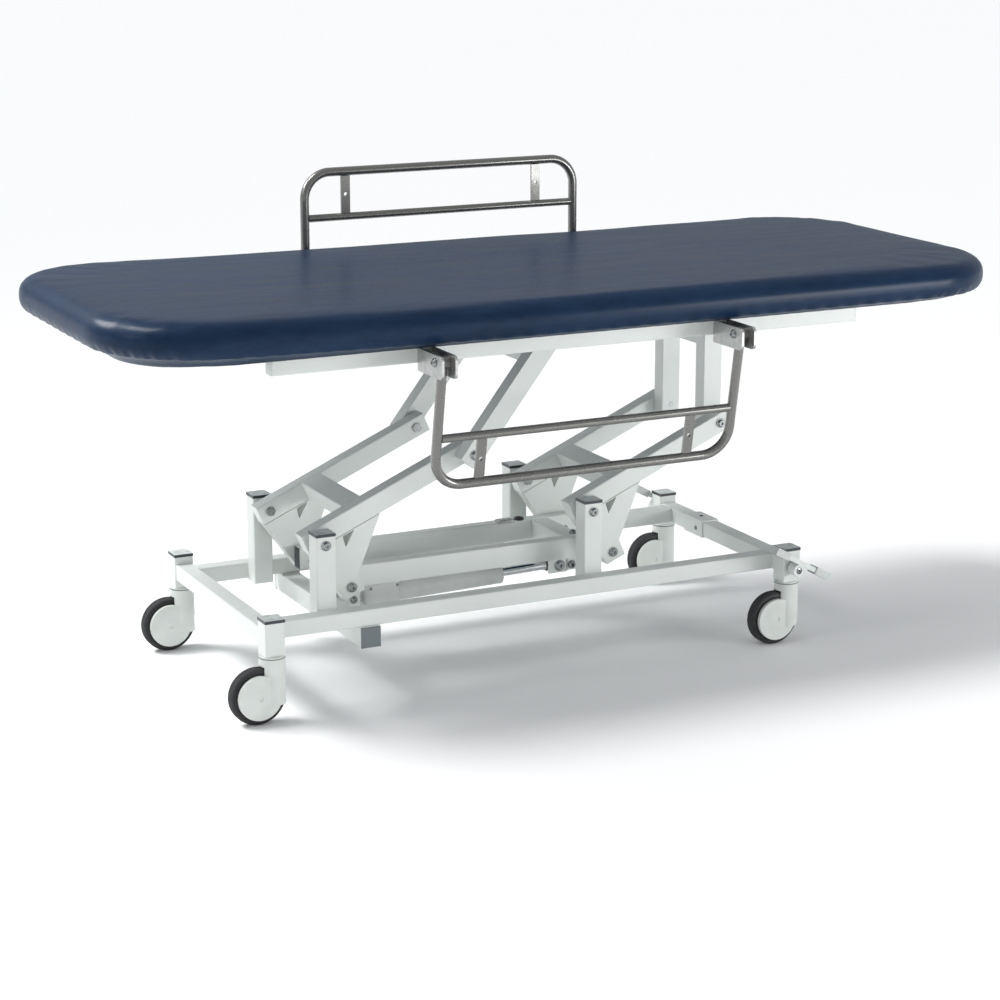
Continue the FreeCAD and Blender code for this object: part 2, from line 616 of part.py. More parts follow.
def bed_frame():
    side, outer, end = "bed_rail_side", "bed_rail_outer", "bed_half_length"
    z = ("bed_frame_z", f"bed_frame_z + {side}")
    low_end, high_end = f"bed_frame_x - {end}", f"bed_frame_x + {end}"
    rail = square_tube("BedRail", (low_end, high_end), (f"-{outer}", f"-{outer} + {side}"), z, "X")
    piece("bed_long_rails", both_sides("BedRails", rail))
    reach = f"({outer} - {side})"
    crossings = []
    narrow, wide = f"{side} / 2", "leg_side / 2"
    spots = (("Head", f"{low_end} + end_cross_inset", narrow), ("Left", "left_leg_top_x", wide),
             ("Right", RIGHT_TIP_X, wide), ("Foot", f"{high_end} - end_cross_inset", narrow))
    for name, x, half in spots:
        crossings.append(square_tube("Cross" + name, (f"{x} - {half}", f"{x} + {half}"),
                                     (f"-{reach}", reach), z, "Y"))
    piece("bed_cross_rails", group("BedCrossRails", crossings))
    board = new_body("Board")
    sketch = sketch_on(board, "XY_Plane", "BoardOutline")
    rounded(sketch, "board_length", "board_width", "board_corner")
    pad(board, sketch, "board_height")
    piece("mattress_board", place(board, ("0", "0", f"bed_frame_z + {side}")))
    mattress = new_body("Mattress")
    sketch = sketch_on(mattress, "XY_Plane", "MattressOutline")
    rounded(sketch, "mattress_length", "mattress_width", "mattress_corner")
    block_pad = pad(mattress, sketch, "mattress_height")
    rims = edges_at(block_pad.Shape, 0) + edges_at(block_pad.Shape, value("mattress_height"))
    edge_feature(mattress, "Fillet", block_pad, rims, "mattress_edge")
    piece("mattress", place(mattress, ("0", "0", f"bed_frame_z + {side} + board_height")))


def leg(name, foot_x, foot_z, top_x, outer):
    """Box-tube leg from its pivot up to the bed frame, cut level at the top; local origin at the pivot."""
    body = new_body(name)
    rise = value("bed_frame_z") - value(foot_z)
    run = value(top_x) - value(foot_x)
    half = value("leg_side") / 2
    direction = V(run, rise, 0).normalize()
    across = V(direction.y, -direction.x, 0)
    wall = value("tube_wall")

    def section(half_width, extra):
        """The leg's side view: square lower end beyond the pivot, level upper end."""
        low = direction * -(half + 2 - extra)
        stretch = half_width / direction.y
        top_middle = V(run, rise, 0)
        return [low + across * half_width, top_middle + V(stretch, 0, 0),
                top_middle - V(stretch, 0, 0), low - across * half_width]

    outside = sketch_on(body, "XZ_Plane", name + "Outline")
    outline(outside, [(p.x, p.y) for p in section(half, 0)])
    circle(outside, ("0", "0"), "pivot_pin")
    pad(body, outside, "arm_width")
    cavity = sketch_on(body, "XZ_Plane", name + "Cavity")
    cavity.AttachmentOffset = FreeCAD.Placement(V(0, 0, wall), FreeCAD.Rotation())
    outline(cavity, [(p.x, p.y) for p in section(half - wall, wall)])
    pocket = body.newObject("PartDesign::Pocket", name + "Hollow")
    pocket.Profile = cavity
    pocket.setExpression("Length", ref("arm_width - 2 * tube_wall"))
    pocket.Reversed = True
    doc.recompute()
    inner = f"-({outer} - arm_width)"
    return place(body, (foot_x, inner, foot_z))


def legs():
    left = leg("LeftLeg", TIP_X, TIP_Z, "left_leg_top_x", "left_leg_outer")
    right = leg("RightLeg", RIGHT_TIP_X, TIP_Z, RIGHT_TIP_X, "right_leg_outer")
    piece("left_legs", both_sides("LeftLegs", group("LeftLegNear", [left])))
    piece("right_legs", both_sides("RightLegs", group("RightLegNear", [right])))
    inner = "(right_leg_outer - arm_width)"
    thick = "leg_brace_thick / 2"
    high = "(bed_frame_z - leg_brace_drop)"
    brace = block("Brace", (f"{RIGHT_TIP_X} - {thick}", f"{RIGHT_TIP_X} + {thick}"), (f"-{inner}", inner),
                  (f"{high} - leg_brace_high", high))
    left_inner = "(left_leg_outer - arm_width)"
    slope = f"(left_leg_top_x - {TIP_X}) / (bed_frame_z - {TIP_Z})"
    brace_x = f"(left_leg_top_x - left_brace_drop * ({slope}))"
    middle = "(bed_frame_z - left_brace_drop)"
    bar = block("LeftBrace", (f"{brace_x} - {thick}", f"{brace_x} + {thick}"), (f"-{left_inner}", left_inner),
                (f"{middle} - left_brace_high / 2", f"{middle} + left_brace_high / 2"))
    piece("leg_braces", group("LegBraces", [brace, bar]))
    pins = []
    for name, x, head in (("Left", TIP_X, "left_leg_outer"), ("Right", RIGHT_TIP_X, "arm_outer + 1")):
        end = ARM_NUT[1] if name == "Left" else "-(right_leg_outer - arm_width)"
        pin = bolt("TipPin" + name, "pivot_pin", f"-({head})", end, (x, TIP_Z))
        if name == "Left":
            pin = joined("TipBoltLeft", [pin, nut("TipNut", "Y", *ARM_NUT, (x, TIP_Z))])
        pins += [pin, mirrored("TipPinFar" + name, pin)]
    piece("upper_pivot_bolts", group("UpperPivotBolts", pins))


# ---------------------------------------------------------------- side rails

def hinge_x(side):
    """The places along the table of a side rail's two hinges."""
    middle = f"{side.lower()}_rail_x"
    return {"Left": f"({middle} - rail_span / 2)", "Right": f"({middle} + rail_span / 2)"}


def ear(name, planes):
    """Upright plate from the bed rail out past the hinge, with its two outer corners rounded."""
    outer = "(hinge_y + ear_beyond)"
    low, high = "(hinge_z - ear_below)", "(hinge_z + ear_above)"
    plate = block(name + "Plate", planes, (f"-{outer} + ear_round", "-bed_rail_outer"), (low, high))
    nose = block(name + "Nose", planes, (f"-{outer}", f"-{outer} + ear_round"),
                 (f"{low} + ear_round", f"{high} - ear_round"))
    rounds = [rod(f"{name}Round{i}", "ear_round", "X", *planes, (f"-{outer} + ear_round", z))
              for i, z in enumerate((f"{low} + ear_round", f"{high} - ear_round"))]
    return [plate, nose, *rounds]


def bracket(name, x):
    """U bracket on the bed rail: a web and two ears round the hinge."""
    edge = "(ear_gap / 2 + ear_thick)"
    ears = ear(name + "EarA", (f"{x} - {edge}", f"{x} - ear_gap / 2"))
    ears += ear(name + "EarB", (f"{x} + ear_gap / 2", f"{x} + {edge}"))
    web = block(name + "Web", (f"{x} - {edge}", f"{x} + {edge}"), ("-bed_rail_outer - 5", "-bed_rail_outer"),
                ("hinge_z - ear_below", "hinge_z + ear_above"))
    bore = rod(name + "Bore", "hinge_bolt", "X", f"{x} - {edge} - 1", f"{x} + {edge} + 1",
               ("-hinge_y", "hinge_z"))
    pin = bolt(name + "Bolt", "hinge_bolt", f"{x} - {edge}", f"{x} + {edge} + 5", ("-hinge_y", "hinge_z"),
               along="X", head="hinge_head")
    return cut(name, joined(name + "Blank", [*ears, web]), bore), pin


def hinge_brackets():
    bolts = []
    for side in ("Near", "Far"):
        made = []
        for end, x in hinge_x(side).items():
            name = f"Bracket{side}{end}"
            shell, pin = bracket(name, x)
            if side == "Far":
                shell, pin = mirrored(name + "Far", shell), mirrored(name + "BoltFar", pin)
            made.append(shell)
            bolts.append(pin)
        piece(f"rail_brackets_{side.lower()}", group("Brackets" + side, made))
    piece("rail_hinge_bolts", group("RailHingeBolts", bolts))


def rail_frame(side):
    """Bent tube that hangs from the hinge line: down, across and up again, with round corners."""
    body = new_body("RailFrame" + side)
    ends = hinge_x(side)
    profile = sketch_on(body, "XY_Plane", "RailProfile" + side)
    circle(profile, (ends["Left"], "0"), "rail_tube")
    circle(profile, (ends["Left"], "0"), "rail_bore")
    path = sketch_on(body, "XZ_Plane", "RailPath" + side)
    left, right = value(ends["Left"]), value(ends["Right"])
    low, r = -value("rail_reach"), value("rail_corner")
    quarter = r * math.sqrt(0.5)
    turns = [
        Part.LineSegment(V(left, 0, 0), V(left, low + r, 0)),
        Part.Arc(V(left, low + r, 0), V(left + r - quarter, low + r - quarter, 0), V(left + r, low, 0)),
        Part.LineSegment(V(left + r, low, 0), V(right - r, low, 0)),
        Part.Arc(V(right - r, low, 0), V(right - r + quarter, low + r - quarter, 0), V(right, low + r, 0)),
        Part.LineSegment(V(right, low + r, 0), V(right, 0, 0)),
    ]
    for turn in turns:
        path.addGeometry(turn, False)
    for index in range(len(turns) - 1):
        path.addConstraint(Sketcher.Constraint("Coincident", index, 2, index + 1, 1))
    pipe = body.newObject("PartDesign::AdditivePipe", "RailPipe" + side)
    pipe.Profile = profile
    pipe.Spine = (path, [])
    doc.recompute()
    return body


def side_rail(side, hinge_y, turn):
    """Bent tube with hinge eyes, middle tube and two drilled bars; local origin on the hinge line."""
    ends = hinge_x(side)
    frame = rail_frame(side)
    reach = "(ear_gap / 2 - 0.5)"
    eyes, bores, saddles = [], [], []
    for name, x in ends.items():
        eyes.append(rod(f"Eye{name}{side}", "eye_outer", "X", f"{x} - {reach}", f"{x} + {reach}", ("0", "0")))
        bores.append(rod(f"EyeBore{name}{side}", "hinge_bolt + pin_clearance", "X", f"{x} - ear_gap",
                         f"{x} + ear_gap", ("0", "0")))
        saddles.append(rod(f"Saddle{name}{side}", "rail_tube", "Z", "-rail_mid - 20", "20 - rail_mid", (x, "0")))
    tubes = cut("RailBored" + side, joined("RailBlank" + side, [frame, *eyes]), *bores)
    stretch = (f"{ends['Left']} + rail_tube - 2", f"{ends['Right']} - rail_tube + 2")
    middle = rod("RailMiddle" + side, "mid_tube", "X", *stretch, ("0", "-rail_mid"))
    hollow = rod("RailMiddleBore" + side, "mid_bore", "X", f"{stretch[0]} - 1", f"{stretch[1]} + 1",
                 ("0", "-rail_mid"))
    trimmed = cut("MiddleTrim" + side, middle, hollow, *saddles)
    bars = []
    for index, sign in enumerate((-1, 1)):
        x = f"{side.lower()}_rail_x + {sign} * bar_spacing / 2"
        bar = block(f"Bar{index}{side}", (f"{x} - bar_width / 2", f"{x} + bar_width / 2"),
                    ("-bar_thick / 2", "bar_thick / 2"), ("-rail_reach", "-rail_mid"))
        hole = rod(f"BarHole{index}{side}", "bar_hole", "Y", "-bar_thick", "bar_thick",
                   (x, "-(rail_reach + rail_mid) / 2"))
        upper = rod(f"BarTop{index}{side}", "mid_tube", "X", f"{x} - bar_width", f"{x} + bar_width",
                    ("0", "-rail_mid"))
        lower = rod(f"BarFoot{index}{side}", "rail_tube", "X", f"{x} - bar_width", f"{x} + bar_width",
                    ("0", "-rail_reach"))
        bars.append(cut(f"BoredBar{index}{side}", bar, hole, upper, lower))
    at = ("0", hinge_y, "hinge_z")
    low = side.lower()
    for label, parts in (("frame", [tubes]), ("middle_tube", [trimmed]), ("bars", bars)):
        whole = group(f"Rail{side}{label}", parts)
        piece(f"{low}_rail_{label}", place(whole, at, V(1, 0, 0), turn))


# ---------------------------------------------------------------- build

base_frame()
lift_posts()
actuator_mounting()
brake()
for corner_name, (way_x, way_y) in CORNERS.items():
    caster(corner_name, way_x, way_y)
lift_arms("left", LIFT_X["left"], "pin_clearance")
lift_arms("right", LIFT_X["right"], "open_clearance")
link()
actuator()
bed_frame()
legs()
hinge_brackets()
side_rail("Near", "-hinge_y", "rail_lean")
side_rail("Far", "hinge_y", "180")
doc.recompute()

for obj in doc.Objects:
    if "Invalid" in obj.State or "Error" in obj.State:
        raise RuntimeError(f"{obj.Name} failed: {obj.State}")
for obj in PIECES:
    if obj.Shape.isNull() or not obj.Shape.isValid() or not obj.Shape.Solids:
        raise RuntimeError(f"{obj.Label} has no valid shape")

os.makedirs("parts", exist_ok=True)
for obj in PIECES:
    obj.Shape.exportStep(f"parts/{obj.Label}.step")
print(len(PIECES), "pieces written")
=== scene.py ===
"""Looks of a mobile height-adjustable exam table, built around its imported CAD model.

Everything is in metres in the CAD frame: +X towards the brake pedals, +Y towards the raised side rail, +Z up,
with the origin on the floor under the middle of the mattress. Numbers marked MM are millimetres.
"""
import math
import random

import bpy
import numpy as np
from mathutils import Matrix, Vector, noise


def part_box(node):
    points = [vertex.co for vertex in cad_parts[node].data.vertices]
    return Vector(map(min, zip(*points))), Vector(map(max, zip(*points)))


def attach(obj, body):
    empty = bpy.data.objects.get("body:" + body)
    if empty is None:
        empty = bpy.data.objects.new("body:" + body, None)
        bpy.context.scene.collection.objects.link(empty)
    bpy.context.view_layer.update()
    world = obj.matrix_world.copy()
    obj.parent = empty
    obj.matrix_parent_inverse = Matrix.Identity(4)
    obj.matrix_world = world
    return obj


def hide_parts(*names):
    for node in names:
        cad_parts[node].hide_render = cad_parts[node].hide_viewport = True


MM = 0.001
CORNERS = ("front_left", "back_left", "front_right", "back_right")

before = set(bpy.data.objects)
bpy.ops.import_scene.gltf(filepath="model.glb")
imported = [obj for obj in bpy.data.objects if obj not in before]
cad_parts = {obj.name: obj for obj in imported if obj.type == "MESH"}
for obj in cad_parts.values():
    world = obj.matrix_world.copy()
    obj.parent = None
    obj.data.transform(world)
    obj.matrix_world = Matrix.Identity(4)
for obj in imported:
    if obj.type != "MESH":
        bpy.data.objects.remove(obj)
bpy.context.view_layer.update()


# ---------------------------------------------------------------- materials

class Finish:
    """One procedural material: a Principled shader and short ways to add the nodes that feed it."""

    def __init__(self, name, **sockets):
        self.material = bpy.data.materials.new(name)
        self.material.use_nodes = True
        self.tree = self.material.node_tree
        self.shader = self.tree.nodes["Principled BSDF"]
        for socket, setting in sockets.items():
            self.shader.inputs[socket.replace("_", " ")].default_value = setting
        self.coordinates = self.node("ShaderNodeTexCoord")

    def node(self, kind, inputs=None, **settings):
        made = self.tree.nodes.new(kind)
        for name, setting in settings.items():
            setattr(made, name, setting)
        for socket, source in (inputs or {}).items():
            if isinstance(source, bpy.types.NodeSocket):
                self.tree.links.new(source, made.inputs[socket])
            else:
                made.inputs[socket].default_value = source
        return made

    def feed(self, socket, source):
        self.tree.links.new(source, self.shader.inputs[socket])

    def place(self, stretch=(1, 1, 1)):
        """Object coordinates, stretched along each axis."""
        inputs = {"Vector": self.coordinates.outputs["Object"], "Scale": stretch}
        return self.node("ShaderNodeMapping", inputs).outputs[0]

    def noise(self, scale, detail=3.0, roughness=0.5, stretch=(1, 1, 1)):
        inputs = {"Vector": self.place(stretch), "Scale": scale, "Detail": detail, "Roughness": roughness}
        return self.node("ShaderNodeTexNoise", inputs).outputs["Fac"]

    def cells(self, scale, feature="F1"):
        inputs = {"Vector": self.place(), "Scale": scale}
        return self.node("ShaderNodeTexVoronoi", inputs, feature=feature).outputs["Distance"]

    def spread(self, source, low, high, out_low, out_high):
        inputs = {"Value": source, "From Min": low, "From Max": high, "To Min": out_low, "To Max": out_high}
        return self.node("ShaderNodeMapRange", inputs).outputs["Result"]

    def maths(self, operation, first, second=0.0):
        return self.node("ShaderNodeMath", {0: first, 1: second}, operation=operation).outputs[0]

    def mix(self, share, first, second):
        made = self.node("ShaderNodeMix", {"Factor": share}, data_type="RGBA")
        for socket, source in ((made.inputs[6], first), (made.inputs[7], second)):
            if isinstance(source, bpy.types.NodeSocket):
                self.tree.links.new(source, socket)
            else:
                socket.default_value = (*source, 1.0)
        return made.outputs[2]

    def soft_edges(self, radius):
        """Normal with the edges rounded over a radius, and a mask that is 1 along those edges."""
        soft = self.node("ShaderNodeBevel", {"Radius": radius}, samples=4).outputs["Normal"]
        flat = self.node("ShaderNodeNewGeometry").outputs["Normal"]
        alike = self.node("ShaderNodeVectorMath", {0: soft, 1: flat}, operation="DOT_PRODUCT")
        return soft, self.spread(alike.outputs["Value"], 0.97, 0.75, 0.0, 1.0)

    def bump(self, height, distance, normal=None):
        inputs = {"Height": height, "Distance": distance, "Strength": 1.0}
        if normal is not None:
            inputs["Normal"] = normal
        return self.node("ShaderNodeBump", inputs).outputs["Normal"]


def coated(name, colour, roughness, peel=0.00012, edge=0.0016, worn=0.16):
    """Powder-coated metal: orange-peel skin, slight cloudiness, soft edges where the coat thins."""
    finish = Finish(name)
    soft, edges = finish.soft_edges(edge)
    cloud = finish.noise(7.0, 5.0)
    deep = tuple(c * 0.93 for c in colour)
    base = finish.mix(finish.spread(cloud, 0.3, 0.7, 0.0, 1.0), colour, deep)
    rub = finish.maths("MULTIPLY", edges, finish.spread(finish.noise(60.0, 4.0), 0.42, 0.62, 0.0, worn))
    finish.feed("Base Color", finish.mix(rub, base, tuple(c * 0.55 for c in colour)))
    haze = finish.noise(35.0, 6.0)
    finish.feed("Roughness", finish.spread(haze, 0.25, 0.75, roughness - 0.07, roughness + 0.08))
    finish.feed("Normal", finish.bump(finish.noise(850.0, 2.0), peel, soft))
    return finish.material


def metal(name, colour, roughness, grain=(1, 1, 1), grain_depth=0.00003, edge=0.0006):
    """Bare or plated metal with a directional grain and cloudy roughness."""
    finish = Finish(name, Metallic=1.0)
    soft, edges = finish.soft_edges(edge)
    cloud = finish.noise(90.0, 5.0)
    base = finish.mix(finish.spread(cloud, 0.35, 0.7, 0.0, 1.0), colour, tuple(c * 0.8 for c in colour))
    # Edges painted lighter: a painted highlight where the rounded edges catch the light.
    finish.feed("Base Color", finish.mix(edges, base, tuple(min(1.0, c * 1.25) for c in colour)))
    streaks = finish.noise(420.0, 4.0, 0.6, grain)
    finish.feed("Roughness", finish.spread(streaks, 0.3, 0.7, roughness - 0.06, roughness + 0.09))
    finish.feed("Normal", finish.bump(streaks, grain_depth, soft))
    return finish.material


def moulded(name, colour, roughness, texture=0.00006, scale=1100.0, edge=0.0012):
    """Moulded plastic or rubber with a fine spark-eroded texture and dusty unevenness."""
    finish = Finish(name)
    soft, edges = finish.soft_edges(edge)
    cloud = finish.noise(24.0, 6.0)
    base = finish.mix(finish.spread(cloud, 0.3, 0.75, 0.0, 1.0), colour, tuple(c * 0.88 for c in colour))
    # Edges painted lighter: a painted highlight where the rounded edges catch the light.
    finish.feed("Base Color", finish.mix(edges, base, tuple(min(1.0, c * 1.12 + 0.01) for c in colour)))
    dust = finish.noise(80.0, 5.0)
    finish.feed("Roughness", finish.spread(dust, 0.3, 0.7, roughness - 0.07, roughness + 0.07))
    finish.feed("Normal", finish.bump(finish.cells(scale), texture, soft))
    return finish.material


def metallic_paint(name, colour, roughness):
    """Dark metallic lacquer on the side rails: fine flakes under a clear coat."""
    finish = Finish(name, Metallic=0.6, Coat_Weight=1.0, Coat_Roughness=0.08)
    soft, edges = finish.soft_edges(0.0008)
    flakes = finish.cells(2600.0)
    base = finish.mix(finish.spread(flakes, 0.2, 0.6, 0.0, 1.0), tuple(c * 1.25 for c in colour), colour)
    cloud = finish.spread(finish.noise(18.0, 5.0), 0.4, 0.75, 0.0, 0.25)
    dulled = finish.mix(cloud, base, tuple(c * 0.75 for c in colour))
    # Edges painted towards light grey: a painted highlight along the rounded edges.
    finish.feed("Base Color", finish.mix(finish.maths("MULTIPLY", edges, 0.35), dulled, (0.36, 0.36, 0.35)))
    haze = finish.noise(45.0, 5.0)
    finish.feed("Roughness", finish.spread(haze, 0.3, 0.7, roughness - 0.05, roughness + 0.08))
    finish.feed("Normal", finish.bump(finish.noise(900.0, 2.0), 0.00004, soft))
    return finish.material


def vinyl(name):
    """Vinyl-coated upholstery cloth: fine leather grain, long soft mottling and a satin top coat."""
    finish = Finish(name, Coat_Weight=0.26, Coat_Roughness=0.26, Specular_IOR_Level=0.08)
    finish.shader.inputs["Specular Tint"].default_value = (0.42, 0.72, 1.0, 1.0)
    finish.shader.inputs["Coat Tint"].default_value = (0.70, 0.86, 1.0, 1.0)
    long_cloud = finish.noise(4.2, 6.0, 0.62, (1.0, 4.5, 4.5))
    small_cloud = finish.noise(26.0, 5.0, 0.6, (1.0, 3.0, 3.0))
    most, rest = finish.maths("MULTIPLY", long_cloud, 0.65), finish.maths("MULTIPLY", small_cloud, 0.35)
    cloud = finish.maths("ADD", most, rest)
    share = finish.spread(cloud, 0.36, 0.62, 0.0, 1.0)
    finish.feed("Base Color", finish.mix(share, (0.003, 0.014, 0.039), (0.009, 0.027, 0.064)))
    finish.feed("Roughness", finish.spread(cloud, 0.35, 0.65, 0.33, 0.47))
    grain = finish.cells(780.0, "DISTANCE_TO_EDGE")
    pores = finish.noise(1500.0, 3.0)
    creases = finish.spread(grain, 0.0, 0.25, 0.0, 1.0)
    height = finish.maths("ADD", creases, finish.maths("MULTIPLY", pores, 0.4))
    drape = finish.bump(finish.noise(9.0, 3.0, 0.5, (1.0, 2.5, 2.5)), 0.0022)
    finish.feed("Normal", finish.bump(height, 0.00011, drape))
    return finish.material


def tones_by_facing(name, side_colour, top_colour, side_roughness, top_roughness, axis):
    """Moulded plastic with one colour on the faces across an axis and another on the faces along it. On the
    pedals these are dark rubber pads on pale sides; on the caps they are one plastic, with painted light on
    the tops and painted shade on the sides.
    """
    finish = Finish(name)
    soft, _ = finish.soft_edges(0.0010)
    inputs = {0: finish.coordinates.outputs["Normal"], 1: axis}
    facing_axis = finish.node("ShaderNodeVectorMath", inputs, operation="DOT_PRODUCT").outputs["Value"]
    side = finish.spread(finish.maths("ABSOLUTE", facing_axis), 0.75, 0.85, 1.0, 0.0)
    cloud = finish.spread(finish.noise(70.0, 5.0), 0.3, 0.7, 0.0, 1.0)
    pale = finish.mix(cloud, side_colour, tuple(c * 0.9 for c in side_colour))
    dark = finish.mix(cloud, top_colour, tuple(c * 1.5 for c in top_colour))
    finish.feed("Base Color", finish.mix(side, dark, pale))
    finish.feed("Roughness", finish.spread(side, 0.0, 1.0, top_roughness, side_roughness))
    finish.feed("Normal", finish.bump(finish.noise(700.0, 3.0), 0.00008, soft))
    return finish.material


def tyre_rubber(name, tread_radius):
    """Near-black sidewalls and a greyer, dusty running tread; coordinates are the wheel's own."""
    finish = Finish(name)
    parts = finish.node("ShaderNodeSeparateXYZ", {0: finish.coordinates.outputs["Object"]})
    flat = finish.node("ShaderNodeCombineXYZ", {0: parts.outputs["X"], 2: parts.outputs["Z"]}).outputs[0]
    radius = finish.node("ShaderNodeVectorMath", {0: flat}, operation="LENGTH").outputs["Value"]
    tread = finish.spread(radius, tread_radius - 4.5 * MM, tread_radius - 2.0 * MM, 0.0, 1.0)
    dust = finish.spread(finish.noise(160.0, 6.0), 0.3, 0.7, 0.0, 1.0)
    side = finish.mix(dust, (0.006, 0.006, 0.007), (0.012, 0.012, 0.013))
    running = finish.mix(dust, (0.036, 0.037, 0.041), (0.022, 0.023, 0.026))
    finish.feed("Base Color", finish.mix(tread, side, running))
    finish.feed("Roughness", finish.spread(tread, 0.0, 1.0, 0.50, 0.78))
    finish.feed("Normal", finish.bump(finish.noise(1300.0, 3.0), 0.00010))
    return finish.material


def plywood(name):
    """Black film-faced plywood with a faint grain along the board."""
    finish = Finish(name)
    grain = finish.noise(70.0, 6.0, 0.6, (0.08, 1.0, 1.0))
    shade = finish.spread(grain, 0.3, 0.7, 0.0, 1.0)
    finish.feed("Base Color", finish.mix(shade, (0.020, 0.019, 0.018), (0.040, 0.036, 0.032)))
    finish.feed("Roughness", finish.spread(grain, 0.3, 0.7, 0.48, 0.64))
    finish.feed("Normal", finish.bump(grain, 0.00020))
    return finish.material


PALE = (0.74, 0.775, 0.745)
PEDAL_ANGLE = math.radians(29)
PEDAL_UP = (math.sin(PEDAL_ANGLE), 0.0, math.cos(PEDAL_ANGLE))
# Cap plastic painted in two tones by facing: painted light on the tops, painted shade on the sides.
CAP_SIDES_PAINTED_SHADE, CAP_TOPS_PAINTED_LIGHT = (0.040, 0.047, 0.056), (0.48, 0.51, 0.50)
PEDAL_SIDES, PEDAL_PADS = (0.60, 0.63, 0.61), (0.022, 0.024, 0.030)
TYRE_RADIUS = 55 * MM
FINISHES = {
    "frame_paint": coated("frame_paint_look", PALE, 0.36),
    "rail_paint": metallic_paint("rail_paint_look", (0.155, 0.153, 0.143), 0.26),
    "bracket_metal": metal("bracket_metal_look", (0.52, 0.53, 0.52), 0.40, (1, 8, 1), edge=0.0014),
    "zinc": metal("zinc_look", (0.33, 0.345, 0.35), 0.28),
    "chrome": metal("chrome_look", (0.72, 0.73, 0.75), 0.12, (30, 1, 1), 0.00001),
    # Caps: tops painted light and sides painted shade.
    "cap_plastic": tones_by_facing("cap_plastic_look", CAP_SIDES_PAINTED_SHADE, CAP_TOPS_PAINTED_LIGHT, 0.40, 0.45, (0, 0, 1)),
    "pedal_rubber": tones_by_facing("pedal_rubber_look", PEDAL_SIDES, PEDAL_PADS, 0.42, 0.62, PEDAL_UP),
    "caster_plastic": moulded("caster_plastic_look", (0.70, 0.735, 0.70), 0.36, edge=0.0018),
    "hub_plastic": moulded("hub_plastic_look", (0.55, 0.57, 0.56), 0.42),
    "actuator_plastic": moulded("actuator_plastic_look", (0.66, 0.68, 0.66), 0.44, 0.00010, 800.0),
    "board": plywood("board_look"),
    "upholstery": vinyl("upholstery_look"),
    "tyre": tyre_rubber("tyre_look", TYRE_RADIUS),
}
BLACK_PLASTIC = moulded("black_plastic_look", (0.018, 0.018, 0.020), 0.40)
BLANK_LABEL = moulded("blank_label_look", (0.72, 0.74, 0.74), 0.30, 0.00001, 300.0, 0.0002)
# Dark metal for the dark screw on top of the brake cover, and for the hexagons of painted shade in the screw
# recesses.
DARK_SCREW_AND_SOCKET_SHADE = metal("dark_screw_and_socket_shade_look", (0.10, 0.10, 0.11), 0.45)
END_CAP = moulded("end_cap_look", (0.165, 0.190, 0.200), 0.45)


def paint_cad_nodes():
    """Gives each CAD node the finish of the material slot that it was packed with."""
    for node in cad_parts.values():
        for slot in node.material_slots:
            slot.material = FINISHES[slot.material.name.split(".")[0]]
    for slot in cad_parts["cross_tube_end_caps"].material_slots:
        slot.material = END_CAP


# ---------------------------------------------------------------- mesh helpers

def lathe(profile, segments=48):
    """Vertices and faces of a profile of (radius, height) turned about Z; a radius of 0 closes an end."""
    verts, faces, rings = [], [], []
    for radius, height in profile:
        if radius == 0:
            rings.append([len(verts)] * segments)
            verts.append((0.0, 0.0, height))
            continue
        rings.append(list(range(len(verts), len(verts) + segments)))
        for step in range(segments):
            angle = 2 * math.pi * step / segments
            verts.append((radius * math.cos(angle), radius * math.sin(angle), height))
    for low, high in zip(rings, rings[1:]):
        for step in range(segments):
            after = (step + 1) % segments
            face = [low[step], low[after], high[after], high[step]]
            faces.append([v for i, v in enumerate(face) if v not in face[:i]])
    return verts, faces


def slab(low, high, radius, steps=3):
    """Box with every edge rounded, from two corners; built as a stretched sphere of eight rounded corners."""
    low, high = Vector(low), Vector(high)
    inner = [(low[i] + radius, high[i] - radius) for i in range(3)]
    levels = [(-1, -math.pi / 2 + math.pi / 2 * s / steps) for s in range(steps + 1)]
    levels += [(1, math.pi / 2 * s / steps) for s in range(steps + 1)]
    turns = [(q, math.pi / 2 * (q + s / steps)) for q in range(4) for s in range(steps + 1)]
    verts = []
    for side, rise in levels:
        z = inner[2][side > 0] + radius * math.sin(rise)
        for quarter, turn in turns:
            x = inner[0][quarter in (0, 3)] + radius * math.cos(rise) * math.cos(turn)
            y = inner[1][quarter in (0, 1)] + radius * math.cos(rise) * math.sin(turn)
            verts.append((x, y, z))
    count = len(turns)
    faces = []
    for row in range(len(levels) - 1):
        for step in range(count):
            after = (step + 1) % count
            below, above = row * count, (row + 1) * count
            faces.append([below + step, below + after, above + after, above + step])
    faces.append(list(range(count))[::-1])
    faces.append(list(range((len(levels) - 1) * count, len(levels) * count)))
    return verts, faces


def tube(points, radii, sides=8):
    """Closed tube through points, with one radius for each."""
    verts, faces = [], []
    for index, (point, radius) in enumerate(zip(points, radii)):
        ahead = points[min(index + 1, len(points) - 1)] - points[max(index - 1, 0)]
        turn = ahead.to_track_quat("Z", "Y").to_matrix()
        for side in range(sides):
            angle = 2 * math.pi * side / sides
            verts.append(point + turn @ Vector((radius * math.cos(angle), radius * math.sin(angle), 0)))
    for index in range(len(points) - 1):
        for side in range(sides):
            after = (side + 1) % sides
            row, following = index * sides, (index + 1) * sides
            faces.append([row + side, row + after, following + after, following + side])
    faces.append(list(range(sides))[::-1])
    faces.append(list(range((len(points) - 1) * sides, len(points) * sides)))
    return verts, faces


def facing(direction, at=(0, 0, 0)):
    """Matrix that turns local +Z towards a direction and moves it to a place."""
    return Matrix.Translation(Vector(at)) @ Vector(direction).to_track_quat("Z", "Y").to_matrix().to_4x4()


